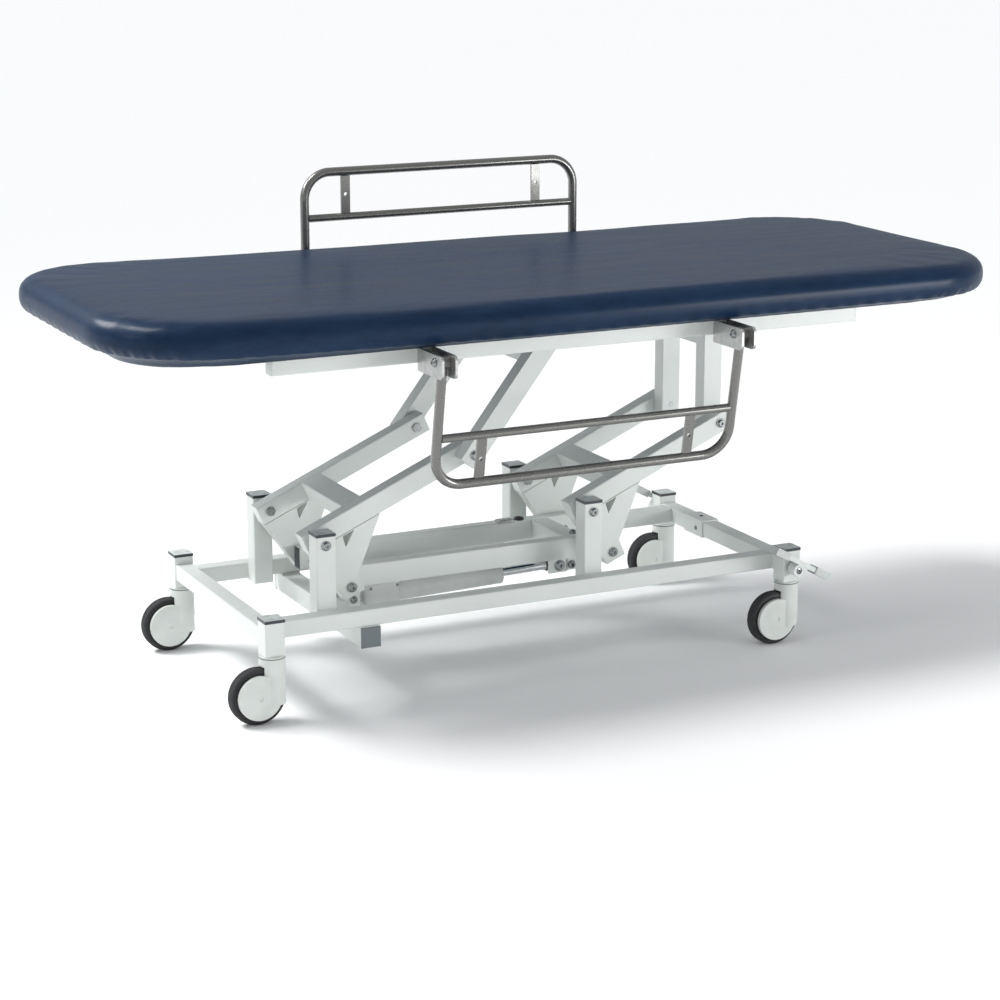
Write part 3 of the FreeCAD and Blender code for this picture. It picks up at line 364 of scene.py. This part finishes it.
class Shape:
    """Vertices and faces gathered into one mesh object."""

    def __init__(self):
        self.verts, self.faces = [], []

    def add(self, part, matrix=None):
        verts, faces = part
        first = len(self.verts)
        self.verts += [tuple(matrix @ Vector(v)) if matrix else tuple(v) for v in verts]
        self.faces += [[first + v for v in face] for face in faces]
        return self

    def finish(self, name, material, body, slot=None, sharp=40, at=None):
        """Object that rides on a body; at moves its origin, so that its own coordinates start there."""
        mesh = bpy.data.meshes.new(name)
        mesh.from_pydata(self.verts, [], self.faces)
        mesh.validate()
        mesh.materials.append(material)
        mesh.shade_smooth()
        mesh.set_sharp_from_angle(angle=math.radians(sharp))
        obj = bpy.data.objects.new(name, mesh)
        bpy.context.scene.collection.objects.link(obj)
        if at is not None:
            obj.location = at
        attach(obj, body)
        return obj


def button_screw(radius, height):
    """Low domed screw head with a washer lip and a round recess, standing on z = 0; the hexagon in it is
    painted shade added by screws().
    """
    recess = radius * 0.42
    dome = [(0, 0), (radius, 0), (radius, height * 0.2), (radius * 0.93, height * 0.35)]
    dome += [(radius * math.cos(a), height * (0.35 + 0.65 * math.sin(a))) for a in (0.5, 0.8, 1.05)]
    dome += [(recess, height), (recess, height * 0.45), (0, height * 0.45)]
    return lathe(dome, 24)


def middle(node):
    low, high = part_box(node)
    return (low + high) / 2


# ---------------------------------------------------------------- mattress

COVER_INSET = 4.0 * MM
COVER_SWELL = 4.0 * MM
COVER_CROWN = 2.0 * MM
ROLL = 34 * MM
STAPLE_PITCH = 44 * MM
FOAM_CORNER = 205 * MM
HALF_LENGTH, HALF_WIDTH = 950 * MM, 395 * MM
LEFT_RISE, RIGHT_RISE, RIGHT_CREEP = 12 * MM, 2 * MM, 8 * MM
BOARD_CORNER = 150 * MM


def outline_ring(half_x, half_y, radius, spacing):
    """Points, outward normals and distances along a rounded rectangle, mirrored across the X axis, and its
    whole length."""
    points, normals, along = [], [], []
    travelled = 0.0
    corners = ((1, 1, 0), (-1, 1, 90), (-1, -1, 180), (1, -1, 270))
    arc_steps = max(6, round(radius * math.pi / 2 / spacing))
    for number, (sx, sy, begin) in enumerate(corners):
        centre = Vector((sx * (half_x - radius), sy * (half_y - radius)))
        for step in range(arc_steps):
            angle = math.radians(begin + 90 * step / arc_steps)
            normal = Vector((math.cos(angle), math.sin(angle)))
            points.append(centre + normal * radius)
            normals.append(normal)
            along.append(travelled + radius * math.radians(90 * step / arc_steps))
        travelled += radius * math.pi / 2
        end_normal = Vector((math.cos(math.radians(begin + 90)), math.sin(math.radians(begin + 90))))
        start = centre + end_normal * radius
        lengths = 2 * ((half_x if number % 2 == 0 else half_y) - radius)
        steps = max(2, 2 * round(lengths / spacing / 2))
        way = Vector((-end_normal.y, end_normal.x))
        for step in range(steps):
            points.append(start + way * lengths * step / steps)
            normals.append(end_normal)
            along.append(travelled + lengths * step / steps)
        travelled += lengths
    return points, normals, along, travelled


def cover_rows(low, high):
    """(inset from the outline, height) from under the board's edge, up the side and over the rolled edge."""
    under = (
        (63, -0.3), (55, 0.2), (51, 4), (38, 8), (26, 10), (14, 12), (7, 15.5), (2.5, 21), (0.3, 29),
    )
    rows = [(inset * MM, low + rise * MM) for inset, rise in under]
    side_top, side_low = high - ROLL, rows[-1][1]
    for step in range(1, 4):
        rows.append((0.0, side_low + (side_top - side_low) * step / 3))
    for step in range(1, 7):
        angle = math.pi / 2 * step / 6
        rows.append((ROLL * (1 - math.cos(angle)), side_top + ROLL * math.sin(angle)))
    rows += [(48 * MM, high + 0.2 * MM), (68 * MM, high + 0.4 * MM)]
    return rows


def cover_mesh():
    """Closed quad mesh of the vinyl cover, a little smaller than the finished mattress, and the number of
    points in each of its rings."""
    board_low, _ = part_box("mattress_board")
    _, foam_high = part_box("mattress")
    half_x, half_y = foam_high.x - COVER_INSET, foam_high.y - COVER_INSET
    corner = FOAM_CORNER - COVER_INSET
    points, normals, _, _ = outline_ring(half_x, half_y, corner, 9 * MM)
    rows = cover_rows(board_low.z, foam_high.z - COVER_CROWN)
    verts, faces = [], []
    count = len(points)
    for inset, height in rows:
        for point, normal in zip(points, normals):
            place = point - normal * inset
            verts.append((place.x, place.y, height))
    spine = half_x - half_y
    last_inset, last_height = rows[-1]
    shares = (0.1, 0.22, 0.36, 0.52, 0.68, 0.84, 0.95)
    for share in shares:
        for point, normal in zip(points, normals):
            outer = point - normal * last_inset
            axis = Vector((max(-spine, min(spine, outer.x)), 0))
            place = outer.lerp(axis, share)
            verts.append((place.x, place.y, last_height + 0.6 * MM * math.sin(share * math.pi / 2)))
    for row in range(len(rows) + len(shares) - 1):
        for step in range(count):
            after = (step + 1) % count
            below, above = row * count, (row + 1) * count
            faces.append([below + step, below + after, above + after, above + step])
    faces += across(verts, (len(rows) + len(shares) - 1) * count, count)
    faces += [face[::-1] for face in across(verts, 0, count)]
    return verts, faces, count


def across(verts, first, count):
    """Faces that close a ring by joining each point to the one straight across the X axis."""
    ring = range(first, first + count)
    half = count // 2
    upper = [i for i in ring if verts[i][1] >= -1e-9 and i - first <= half]
    start = len(upper)
    lower = [first + (count - k) % count for k in range(start)]
    faces = []
    for k in range(start - 1):
        face = [upper[k], upper[k + 1], lower[k + 1], lower[k]]
        faces.append([v for i, v in enumerate(face) if v not in face[:i]])
    return [face for face in faces if len(face) > 2]


def swell(obj, pinned, cap, rise_cap, frames=20, pressure=4.0):
    """Inflates a closed cover by cloth simulation, then limits how far and how high each point has moved."""
    mesh = obj.data
    rest = np.array([v.co for v in mesh.vertices])
    group = obj.vertex_groups.new(name="stapled")
    group.add(pinned, 1.0, "REPLACE")
    cloth = obj.modifiers.new("Cloth", "CLOTH")
    cloth.settings.use_pressure = True
    cloth.settings.uniform_pressure_force = pressure
    cloth.settings.vertex_group_mass = "stapled"
    cloth.settings.effector_weights.gravity = 0
    cloth.collision_settings.use_collision = False
    for number in range(1, frames + 1):
        bpy.context.scene.frame_set(number)
    shown = obj.evaluated_get(bpy.context.evaluated_depsgraph_get()).data
    moved = np.array([v.co for v in shown.vertices]) - rest
    obj.modifiers.remove(cloth)
    bpy.context.scene.frame_set(1)
    length = np.linalg.norm(moved, axis=1, keepdims=True)
    moved *= np.minimum(1.0, cap / np.maximum(length, 1e-9))
    moved[:, 2] = np.clip(moved[:, 2], -rise_cap, rise_cap)
    mesh.vertices.foreach_set("co", (rest + moved).ravel())
    mesh.update()


def refine(obj, levels=1):
    """Applies one smooth subdivision."""
    smooth = obj.modifiers.new("Smooth", "SUBSURF")
    smooth.levels = levels
    smooth.render_levels = levels
    shown = obj.evaluated_get(bpy.context.evaluated_depsgraph_get())
    mesh = bpy.data.meshes.new_from_object(shown)
    obj.modifiers.remove(smooth)
    obj.data = mesh


def rim_place(x, y):
    """Where a point lies by the rim: distance along its side or corner, outward normal, how far round a
    corner it is (1 at the middle), and 1 on the outline falling to 0 one corner radius inside."""
    out_x, out_y = abs(x) - (HALF_LENGTH - FOAM_CORNER), abs(y) - (HALF_WIDTH - FOAM_CORNER)
    if out_x > 0 and out_y > 0:
        angle = math.atan2(out_y, out_x)
        normal = Vector((math.cos(angle), math.sin(angle)))
        return angle * FOAM_CORNER, normal, math.sin(2 * angle), math.hypot(out_x, out_y) / FOAM_CORNER
    if HALF_LENGTH - abs(x) < HALF_WIDTH - abs(y):
        return y, Vector((1, 0)), 0.0, 1 - (HALF_LENGTH - abs(x)) / FOAM_CORNER
    return x, Vector((0, 1)), 0.0, 1 - (HALF_WIDTH - abs(y)) / FOAM_CORNER


def gather(obj, low):
    """Pulls the lower edge of the cover in at each staple, with closer, deeper pleats round the corners."""
    for vert in obj.data.vertices:
        x, y, z = vert.co
        along, normal, corner, rim = rim_place(x, y)
        reach = ease((rim - 0.80) / 0.12) * math.exp(-(((z - low - 15 * MM) / (11 * MM)) ** 2))
        loose = noise.noise(Vector((x * 9, y * 9, 3.7)))
        pull = 0.5 + 0.5 * math.cos(2 * math.pi * (along + 6 * MM * loose) / STAPLE_PITCH)
        pleat = 0.5 + 0.5 * math.cos(4 * math.pi * (along + 3 * MM * loose) / STAPLE_PITCH)
        depth = (1.5 + 0.8 * loose) * MM * pull + 2.4 * MM * corner * pleat
        ripple = 0.35 * MM * noise.noise(Vector((x * 22, y * 22, z * 30)))
        shift = (ripple - depth) * reach
        vert.co.x += math.copysign(normal.x, x) * shift
        vert.co.y += math.copysign(normal.y, y) * shift
        vert.co.z -= 0.9 * MM * (1 - pull) * reach
        if z > low + 60 * MM:
            vert.co.z += 0.55 * MM * noise.noise(Vector((x * 5, y * 9, 1.3))) - 0.4 * MM
    obj.data.update()


def spring_up(obj, low):
    """Lets the overhanging foam rise off the board towards its ends, and lengthens its right half."""
    for vert in obj.data.vertices:
        x, y, z = vert.co
        rim = rim_place(x, y)[3]
        free = max(ease((rim - 0.72) / 0.15), ease((z - low) / (40 * MM)))
        past = max(0.0, abs(x) - 0.20) / 0.75
        vert.co.z += free * past ** 1.3 * (LEFT_RISE if x < 0 else RIGHT_RISE)
        if x > 0:
            vert.co.x += RIGHT_CREEP * past * past
    obj.data.update()


def ease(share):
    """Share held between 0 and 1."""
    return max(0.0, min(1.0, share))


def stretch_to(obj, high):
    """Scales a mesh about the Z axis so that its sides and top reach a box; its lowest points stay."""
    places = np.array([v.co for v in obj.data.vertices])
    reach = np.abs(places[:, :2]).max(axis=0)
    places[:, :2] *= np.array([high.x, high.y]) / reach
    bottom, top = places[:, 2].min(), places[:, 2].max()
    places[:, 2] = bottom + (places[:, 2] - bottom) * (high.z - bottom) / (top - bottom)
    obj.data.vertices.foreach_set("co", places.ravel())
    obj.data.update()


def mattress():
    _, foam_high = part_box("mattress")
    verts, faces, count = cover_mesh()
    shape = Shape().add((verts, faces))
    cover = shape.finish("mattress_cover", FINISHES["upholstery"], "bed", "upholstery", sharp=180)
    swell(cover, list(range(6 * count)), COVER_SWELL, COVER_CROWN)
    refine(cover)
    board_low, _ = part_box("mattress_board")
    gather(cover, board_low.z)
    stretch_to(cover, foam_high)
    spring_up(cover, board_low.z)
    cover.data.shade_smooth()
    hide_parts("mattress")


def cover_hem():
    """Vinyl turned under the board: a thin pleated band with a row of staples."""
    board_low, board_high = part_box("mattress_board")
    points, normals, along, _ = outline_ring(board_high.x, board_high.y, BOARD_CORNER, 11 * MM)
    top = board_low.z
    insets = (0.5, 6, 14, 22, 29, 32)
    verts, faces = [], []
    count = len(points)
    for layer in (0.75, 0.05):
        for inset in insets:
            for point, normal, travelled in zip(points, normals, along):
                edge = abs(normal.x * normal.y) * 2
                frill = 3.0 * MM * math.sin(travelled * 190) * (inset / 32) * (0.25 + edge)
                place = point - normal * (inset * MM + frill * 0.4)
                wave = 0.12 * MM * math.sin(travelled * 145)
                verts.append((place.x, place.y, top - layer * MM + wave * (layer > 0.5)))
    rows = len(insets)
    for row in range(2 * rows):
        following = (row + 1) % (2 * rows)
        low_row = row if row < rows else 3 * rows - 1 - row
        next_row = following if following < rows else 3 * rows - 1 - following
        for step in range(count):
            after = (step + 1) % count
            inner, outer = low_row * count, next_row * count
            faces.append([inner + step, outer + step, outer + after, inner + after])
    Shape().add((verts, faces)).finish("cover_hem", FINISHES["upholstery"], "bed", "upholstery", sharp=60)
    staples = Shape()
    staple_points, staple_normals, _, _ = outline_ring(board_high.x, board_high.y, BOARD_CORNER, STAPLE_PITCH)
    for point, normal in zip(staple_points, staple_normals):
        place = point - normal * 20 * MM
        downwards = facing((0, 0, -1), (place.x, place.y, top - 0.8 * MM))
        turn = downwards @ Matrix.Rotation(-math.atan2(normal.y, normal.x), 4, "Z")
        staples.add(slab((-0.5 * MM, -5 * MM, 0), (0.5 * MM, 5 * MM, 0.5 * MM), 0.2 * MM, 1), turn)
    staples.finish("hem_staples", FINISHES["zinc"], "bed", "zinc")


# ---------------------------------------------------------------- casters

def tyre_profile(half_width, bore, radius):
    """Profile of (radius, place along the axle): beads on the sidewalls, round shoulders and two grooves."""
    edge = half_width
    bead_rings = ((0, 1.0), (1.2, 0.2), (2.6, 0.2), (3.2, 0.8), (4.5, 0.8), (5.2, 0.1))
    left = [(bore + out * MM, -edge + deep * MM) for out, deep in bead_rings]
    for step in range(7):
        angle = math.pi / 2 * step / 6
        across_tread = -edge + 6.5 * MM * (1 - math.cos(angle))
        left.append((radius - 6 * MM + 6 * MM * math.sin(angle), across_tread))
    groove = ((0, 4.0), (0.7, 3.5), (0.7, 2.7), (0, 2.2))
    left += [(radius - deep * MM, -place * MM) for deep, place in groove]
    right = [(r, -y) for r, y in reversed(left)]
    return left + right + [left[0]]


CASTER_TRAIL = 32 * MM
SWIVEL_HEIGHT = 128 * MM
HUB_RADIUS = 41 * MM


def casters():
    for corner in CORNERS:
        centre = middle("tyre_" + corner)
        low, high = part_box("tyre_" + corner)
        half_width = (high.y - low.y) / 2
        profile = tyre_profile(half_width, HUB_RADIUS, (high.z - low.z) / 2)
        tyre = Shape().add(lathe(profile, 120), facing((0, 1, 0)))
        made = tyre.finish(f"tyre_tread_{corner}", FINISHES["tyre"], f"wheel_{corner}", "tyre", 30, centre)
        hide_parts("tyre_" + corner)
        seal = [(24.0 * MM, -0.7 * MM), (25.3 * MM, -0.7 * MM), (25.3 * MM, 0.7 * MM), (24.0 * MM, 0.7 * MM)]
        at = Matrix.Translation((centre.x + CASTER_TRAIL, centre.y, SWIVEL_HEIGHT))
        ring = Shape().add(lathe(seal + seal[:1], 64), at)
        ring.finish(f"swivel_seal_{corner}", END_CAP, "base", "cap_plastic", 50)


# ---------------------------------------------------------------- small fittings

def screws(name, body, places, direction, radius=5 * MM, height=2.6 * MM, material=None):
    """Row of button screws that face one way, each with a dark hexagon of painted shade in its recess."""
    heads, painted_socket_shades = Shape(), Shape()
    for at in places:
        turn = facing(direction, at)
        heads.add(button_screw(radius, height), turn)
        # Dark hexagon just above the recess floor: painted shade for the depth of the hex socket.
        painted_socket_shades.add(lathe([(radius * 0.40, height * 0.46), (0, height * 0.46)], 6), turn)
    heads.finish(name, material or FINISHES["zinc"], body, "zinc", 35)
    painted_socket_shades.finish(name + "_socket_shade", DARK_SCREW_AND_SOCKET_SHADE, body, "zinc")


def bed_rail_plugs():
    plugs = Shape()
    low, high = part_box("bed_long_rails")
    side = 30 * MM
    for end, way in ((low.x, -1), (high.x, 1)):
        for y in (low.y + side / 2, high.y - side / 2):
            inner, outer = sorted((end - way * 0.5 * MM, end + way * 2.2 * MM))
            plugs.add(slab((inner, y - side / 2, low.z), (outer, y + side / 2, high.z), 1.0 * MM))
    plugs.finish("bed_rail_plugs", FINISHES["frame_paint"], "bed", "frame_paint")


def link_fittings():
    """Black grommet and cable clip on the far link bar, and end plugs in both bars."""
    low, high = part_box("link_bars")
    clip = Shape().add(slab((0.0, 0.066, high.z - 2 * MM), (0.034, 0.088, high.z + 5 * MM), 2.2 * MM))
    clip.finish("link_cable_clip", FINISHES["bracket_metal"], "link", "bracket_metal")
    dome = [(0, 0), (11 * MM, 0), (11 * MM, 2 * MM), (9 * MM, 5 * MM), (5 * MM, 6.5 * MM), (0, 7 * MM)]
    grommet = Shape().add(lathe(dome, 40), Matrix.Translation((0.052, 0.080, high.z - 0.5 * MM)))
    grommet.finish("link_grommet", BLACK_PLASTIC, "link", "cap_plastic")
    plugs = Shape()
    for end, way in ((low.x, -1), (high.x, 1)):
        for y in (-84.5 * MM, 84.5 * MM):
            inner, outer = sorted((end - way * 0.5 * MM, end + way * 1.8 * MM))
            near = (inner, y - 12.4 * MM, low.z + 0.2 * MM)
            far = (outer, y + 12.4 * MM, high.z - 0.2 * MM)
            plugs.add(slab(near, far, 0.8 * MM))
    plugs.finish("link_bar_plugs", FINISHES["cap_plastic"], "link", "cap_plastic")


def brake_link_cover():
    """Folded cover round the brake rod on the right end rail, with a screw on top and one on its side."""
    rail_low, rail_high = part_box("base_end_rail_right")
    thick = 3 * MM
    low = Vector((rail_low.x - thick, 0.052, rail_low.z - 2 * MM))
    high = Vector((rail_high.x + thick, 0.128, rail_high.z + thick))
    cover = Shape().add(slab(low, high, 1.6 * MM))
    cover.finish("brake_link_cover", FINISHES["frame_paint"], "base", "frame_paint")
    centre = (low + high) / 2
    top = (centre.x, centre.y, high.z)
    screws("brake_cover_screw_top", "base", [top], (0, 0, 1), 4 * MM, 2 * MM, DARK_SCREW_AND_SOCKET_SHADE)
    side = (low.x, centre.y - 12 * MM, centre.z - 2 * MM)
    screws("brake_cover_screw_side", "base", [side], (-1, 0, 0), 5 * MM)


def labels():
    """One blank rating label."""
    leg_low, leg_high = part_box("right_legs")
    y = leg_low.y
    x = (leg_low.x + leg_high.x) / 2
    low, high = (x - 11 * MM, y - 0.35 * MM, 0.622), (x + 9 * MM, y + 0.2 * MM, 0.668)
    plate = Shape().add(slab(low, high, 0.15 * MM, 1))
    plate.finish("leg_label", BLANK_LABEL, "bed", "frame_paint")


ACTUATOR_REAR = Vector((-366 * MM, 0, 140 * MM))
ACTUATOR_FRONT = Vector((98 * MM, 0, 152 * MM))
SLEEVE_END = 330 * MM


def actuator_fittings():
    """Wiper, casing screws, cable inlet and motor lid of the drive, and what is fitted at the front eye."""
    way = (ACTUATOR_FRONT - ACTUATOR_REAR).normalized()

    def along(distance, y=0.0, rise=0.0):
        return ACTUATOR_REAR + way * distance + Vector((0, y, rise))

    wiper = [(9.4, -1.5), (21.9, -1.5), (22.6, 0), (21.6, 3.5), (11.5, 4.5), (9.6, 6), (9.4, -1.5)]
    wiper = [(r * MM, h * MM) for r, h in wiper]
    ring = Shape().add(lathe(wiper, 64), facing(way, along(SLEEVE_END)))
    ring.finish("actuator_wiper_ring", FINISHES["actuator_plastic"], "actuator", "actuator_plastic")
    ends, rises = (33 * MM, 91 * MM), (-20 * MM, 20 * MM)
    places = [along(distance, -31 * MM, rise) for distance in ends for rise in rises]
    screws("drive_case_screws", "actuator", places, (0, -1, 0), 3.2 * MM, 1.8 * MM)
    inlet = [(7, 0), (7, 4), (5.5, 5), (3.5, 5), (3.5, 1), (0, 1)]
    inlet_place = facing((0, 0, -1), along(50 * MM, 12 * MM, -27 * MM))
    gland = Shape().add(lathe([(r * MM, h * MM) for r, h in inlet], 32), inlet_place)
    gland.finish("drive_cable_inlet", BLACK_PLASTIC, "actuator", "cap_plastic")
    lid = [(0, 1.5), (14, 1.5), (17.5, 0.6), (20.4, -1), (20.4, -6), (20, -6)]
    cover = Shape().add(lathe([(r * MM, h * MM) for r, h in lid], 48), facing(way, along(196 * MM, 46 * MM)))
    cover.finish("motor_end_lid", BLACK_PLASTIC, "actuator", "cap_plastic")
    lock = [(9.2, 0), (12.5, 0), (12.5, 7), (11.5, 8), (9.2, 8), (9.2, 0)]
    lock_place = facing(way, ACTUATOR_FRONT - way * 24 * MM)
    lock_ring = Shape().add(lathe([(r * MM, h * MM) for r, h in lock], 40), lock_place)
    lock_ring.finish("rod_lock_ring", BLACK_PLASTIC, "actuator_rod", "cap_plastic")
    plate = slab((112 * MM, -17 * MM, 139 * MM), (137 * MM, -11 * MM, 193 * MM), 2 * MM)
    Shape().add(plate).finish("front_lug_cheek", FINISHES["frame_paint"], "link", "frame_paint")
    screws("front_lug_bolt", "link", [(126 * MM, -17 * MM, 151 * MM)], (0, -1, 0), 9 * MM, 7 * MM)
    screws("link_top_bolt", "link", [(106 * MM, -60 * MM, 231 * MM)], (0, 0, 1), 8 * MM, 7 * MM)


def pedal_fittings():
    """Screws in the recessed ends of the pedal shaft."""
    low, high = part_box("brake_shaft")
    shaft = middle("brake_shaft")
    for name, y, way in (("near", low.y, -1), ("far", high.y, 1)):
        screws(f"pedal_screw_{name}", "brake", [(shaft.x, y, shaft.z)], (0, way, 0), 6.5 * MM, 2.5 * MM)


# ---------------------------------------------------------------- welds

def bead(start, end, radius, seed):
    """Painted weld bead: a rippled, slightly uneven tube from start to end."""
    start, end = Vector(start), Vector(end)
    draw = random.Random(seed)
    steps = max(6, round((end - start).length / (1.6 * MM)))
    points, radii = [], []
    for step in range(steps + 1):
        share = step / steps
        points.append(start.lerp(end, share))
        ends = min(1.0, 4 * min(share, 1 - share) + 0.35)
        radii.append(radius * ends * (0.86 + 0.16 * (step % 2) + 0.08 * draw.random()))
    return tube(points, radii)


def welds_round(shape, low, high, plane, at, radius, seed):
    """Beads round the four sides of a box tube where it meets a plane across one axis."""
    others = [i for i in range(3) if i != plane]
    inset = 2.5 * MM
    for number, (one, two) in enumerate((others, others[::-1])):
        for limit in (low, high):
            start, end = [0.0] * 3, [0.0] * 3
            start[plane] = end[plane] = at
            start[two] = end[two] = limit[two]
            start[one], end[one] = low[one] + inset, high[one] - inset
            shape.add(bead(start, end, radius, seed + number))


LIFT_POSTS = (-491 * MM, 85 * MM)
BED_CROSS_RAILS = ((-566 * MM, 15 * MM), (7 * MM, 20 * MM), (406 * MM, 20 * MM), (516 * MM, 15 * MM))


def welds():
    """Beads round the base's end rails and long rails, the lift posts' feet and the bed's cross rails,
    which are listed as (middle, half width)."""
    base = Shape()
    for name in ("base_end_rail_left", "base_end_rail_right"):
        low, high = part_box(name)
        for at in (low.y, high.y):
            welds_round(base, low, high, 1, at, 1.7 * MM, len(base.verts))
    for name in ("base_rail_near", "base_rail_far"):
        low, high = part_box(name)
        for at in (low.x, high.x):
            welds_round(base, low, high, 0, at, 1.7 * MM, len(base.verts))
    rail_low, rail_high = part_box("base_rail_near")
    for x in LIFT_POSTS:
        for side in (-1, 1):
            y = side * abs(rail_high.y)
            for edge in (-20 * MM, 20 * MM):
                foot, head = (x + edge, y, rail_low.z), (x + edge, y, rail_high.z)
                base.add(bead(foot, head, 1.8 * MM, len(base.verts)))
            left, right = (x - 18 * MM, y, rail_high.z), (x + 18 * MM, y, rail_high.z)
            base.add(bead(left, right, 1.8 * MM, len(base.verts)))
    base.finish("base_weld_beads", FINISHES["frame_paint"], "base", "frame_paint", 60)
    bed = Shape()
    low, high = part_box("bed_cross_rails")
    for x, half in BED_CROSS_RAILS:
        for y in (low.y, high.y):
            box_low, box_high = Vector((x - half, 0, low.z)), Vector((x + half, 0, high.z))
            welds_round(bed, box_low, box_high, 1, y, 1.5 * MM, len(bed.verts))
    bed.finish("bed_weld_beads", FINISHES["frame_paint"], "bed", "frame_paint", 60)


# ---------------------------------------------------------------- studio

def floor():
    size = 60.0
    finish = Finish("floor_look", Roughness=0.9)
    finish.feed("Base Color", finish.mix(finish.noise(0.6, 3.0), (0.94, 0.945, 0.95), (0.955, 0.955, 0.96)))
    verts = [(-size, -size, 0), (size, -size, 0), (size, size, 0), (-size, size, 0)]
    mesh = bpy.data.meshes.new("floor")
    mesh.from_pydata(verts, [], [(0, 1, 2, 3)])
    mesh.materials.append(finish.material)
    obj = bpy.data.objects.new("floor", mesh)
    bpy.context.scene.collection.objects.link(obj)


def sun(name, towards, strength, spread):
    """Soft distant light that shines along a direction."""
    data = bpy.data.lights.new(name, "SUN")
    data.energy = strength
    data.angle = math.radians(spread)
    obj = bpy.data.objects.new(name, data)
    obj.rotation_euler = Vector(towards).to_track_quat("-Z", "Y").to_euler()
    bpy.context.scene.collection.objects.link(obj)


def softbox(name, at, target, width, height, power):
    data = bpy.data.lights.new(name, "AREA")
    data.shape = "RECTANGLE"
    data.size = width
    data.size_y = height
    data.energy = power
    obj = bpy.data.objects.new(name, data)
    obj.location = at
    obj.rotation_euler = (Vector(target) - Vector(at)).to_track_quat("-Z", "Y").to_euler()
    bpy.context.scene.collection.objects.link(obj)


def studio():
    world = bpy.data.worlds.new("studio")
    world.use_nodes = True
    world.node_tree.nodes["Background"].inputs["Color"].default_value = (0.96, 0.98, 1.0, 1.0)
    world.node_tree.nodes["Background"].inputs["Strength"].default_value = 0.51
    bpy.context.scene.world = world
    sun("key_light", (0.46, -0.24, -0.85), 1.85, 20)
    sun("left_low_light", (0.93, 0.08, -0.34), 0.28, 22)
    softbox("left_softbox", (-2.0, 1.3, 2.2), (-0.9, 0.0, 0.75), 1.0, 0.7, 40)
    softbox("right_softbox", (2.9, -3.3, 0.70), (0.5, 0.0, 0.35), 1.8, 1.0, 66)
    floor()
    bpy.context.scene.view_settings.view_transform = "Standard"
    bpy.context.scene.view_settings.look = "None"


def camera():
    azimuth, elevation, distance = math.radians(-26.21), math.radians(14.34), 5.155
    target = Vector((-0.031, 0.0, 0.315))
    level = math.cos(elevation)
    back = Vector((math.sin(azimuth) * level, -math.cos(azimuth) * level, math.sin(elevation)))
    data = bpy.data.cameras.new("camera")
    data.sensor_width = 36.0
    data.lens = 91.0
    data.shift_y = -0.006
    obj = bpy.data.objects.new("camera", data)
    obj.location = target + back * distance
    obj.rotation_euler = (-back).to_track_quat("-Z", "Y").to_euler()
    bpy.context.scene.collection.objects.link(obj)
    bpy.context.scene.camera = obj


# ---------------------------------------------------------------- build

paint_cad_nodes()
mattress()
cover_hem()
casters()
bed_rail_plugs()
link_fittings()
brake_link_cover()
labels()
actuator_fittings()
pedal_fittings()
welds()
studio()
camera()
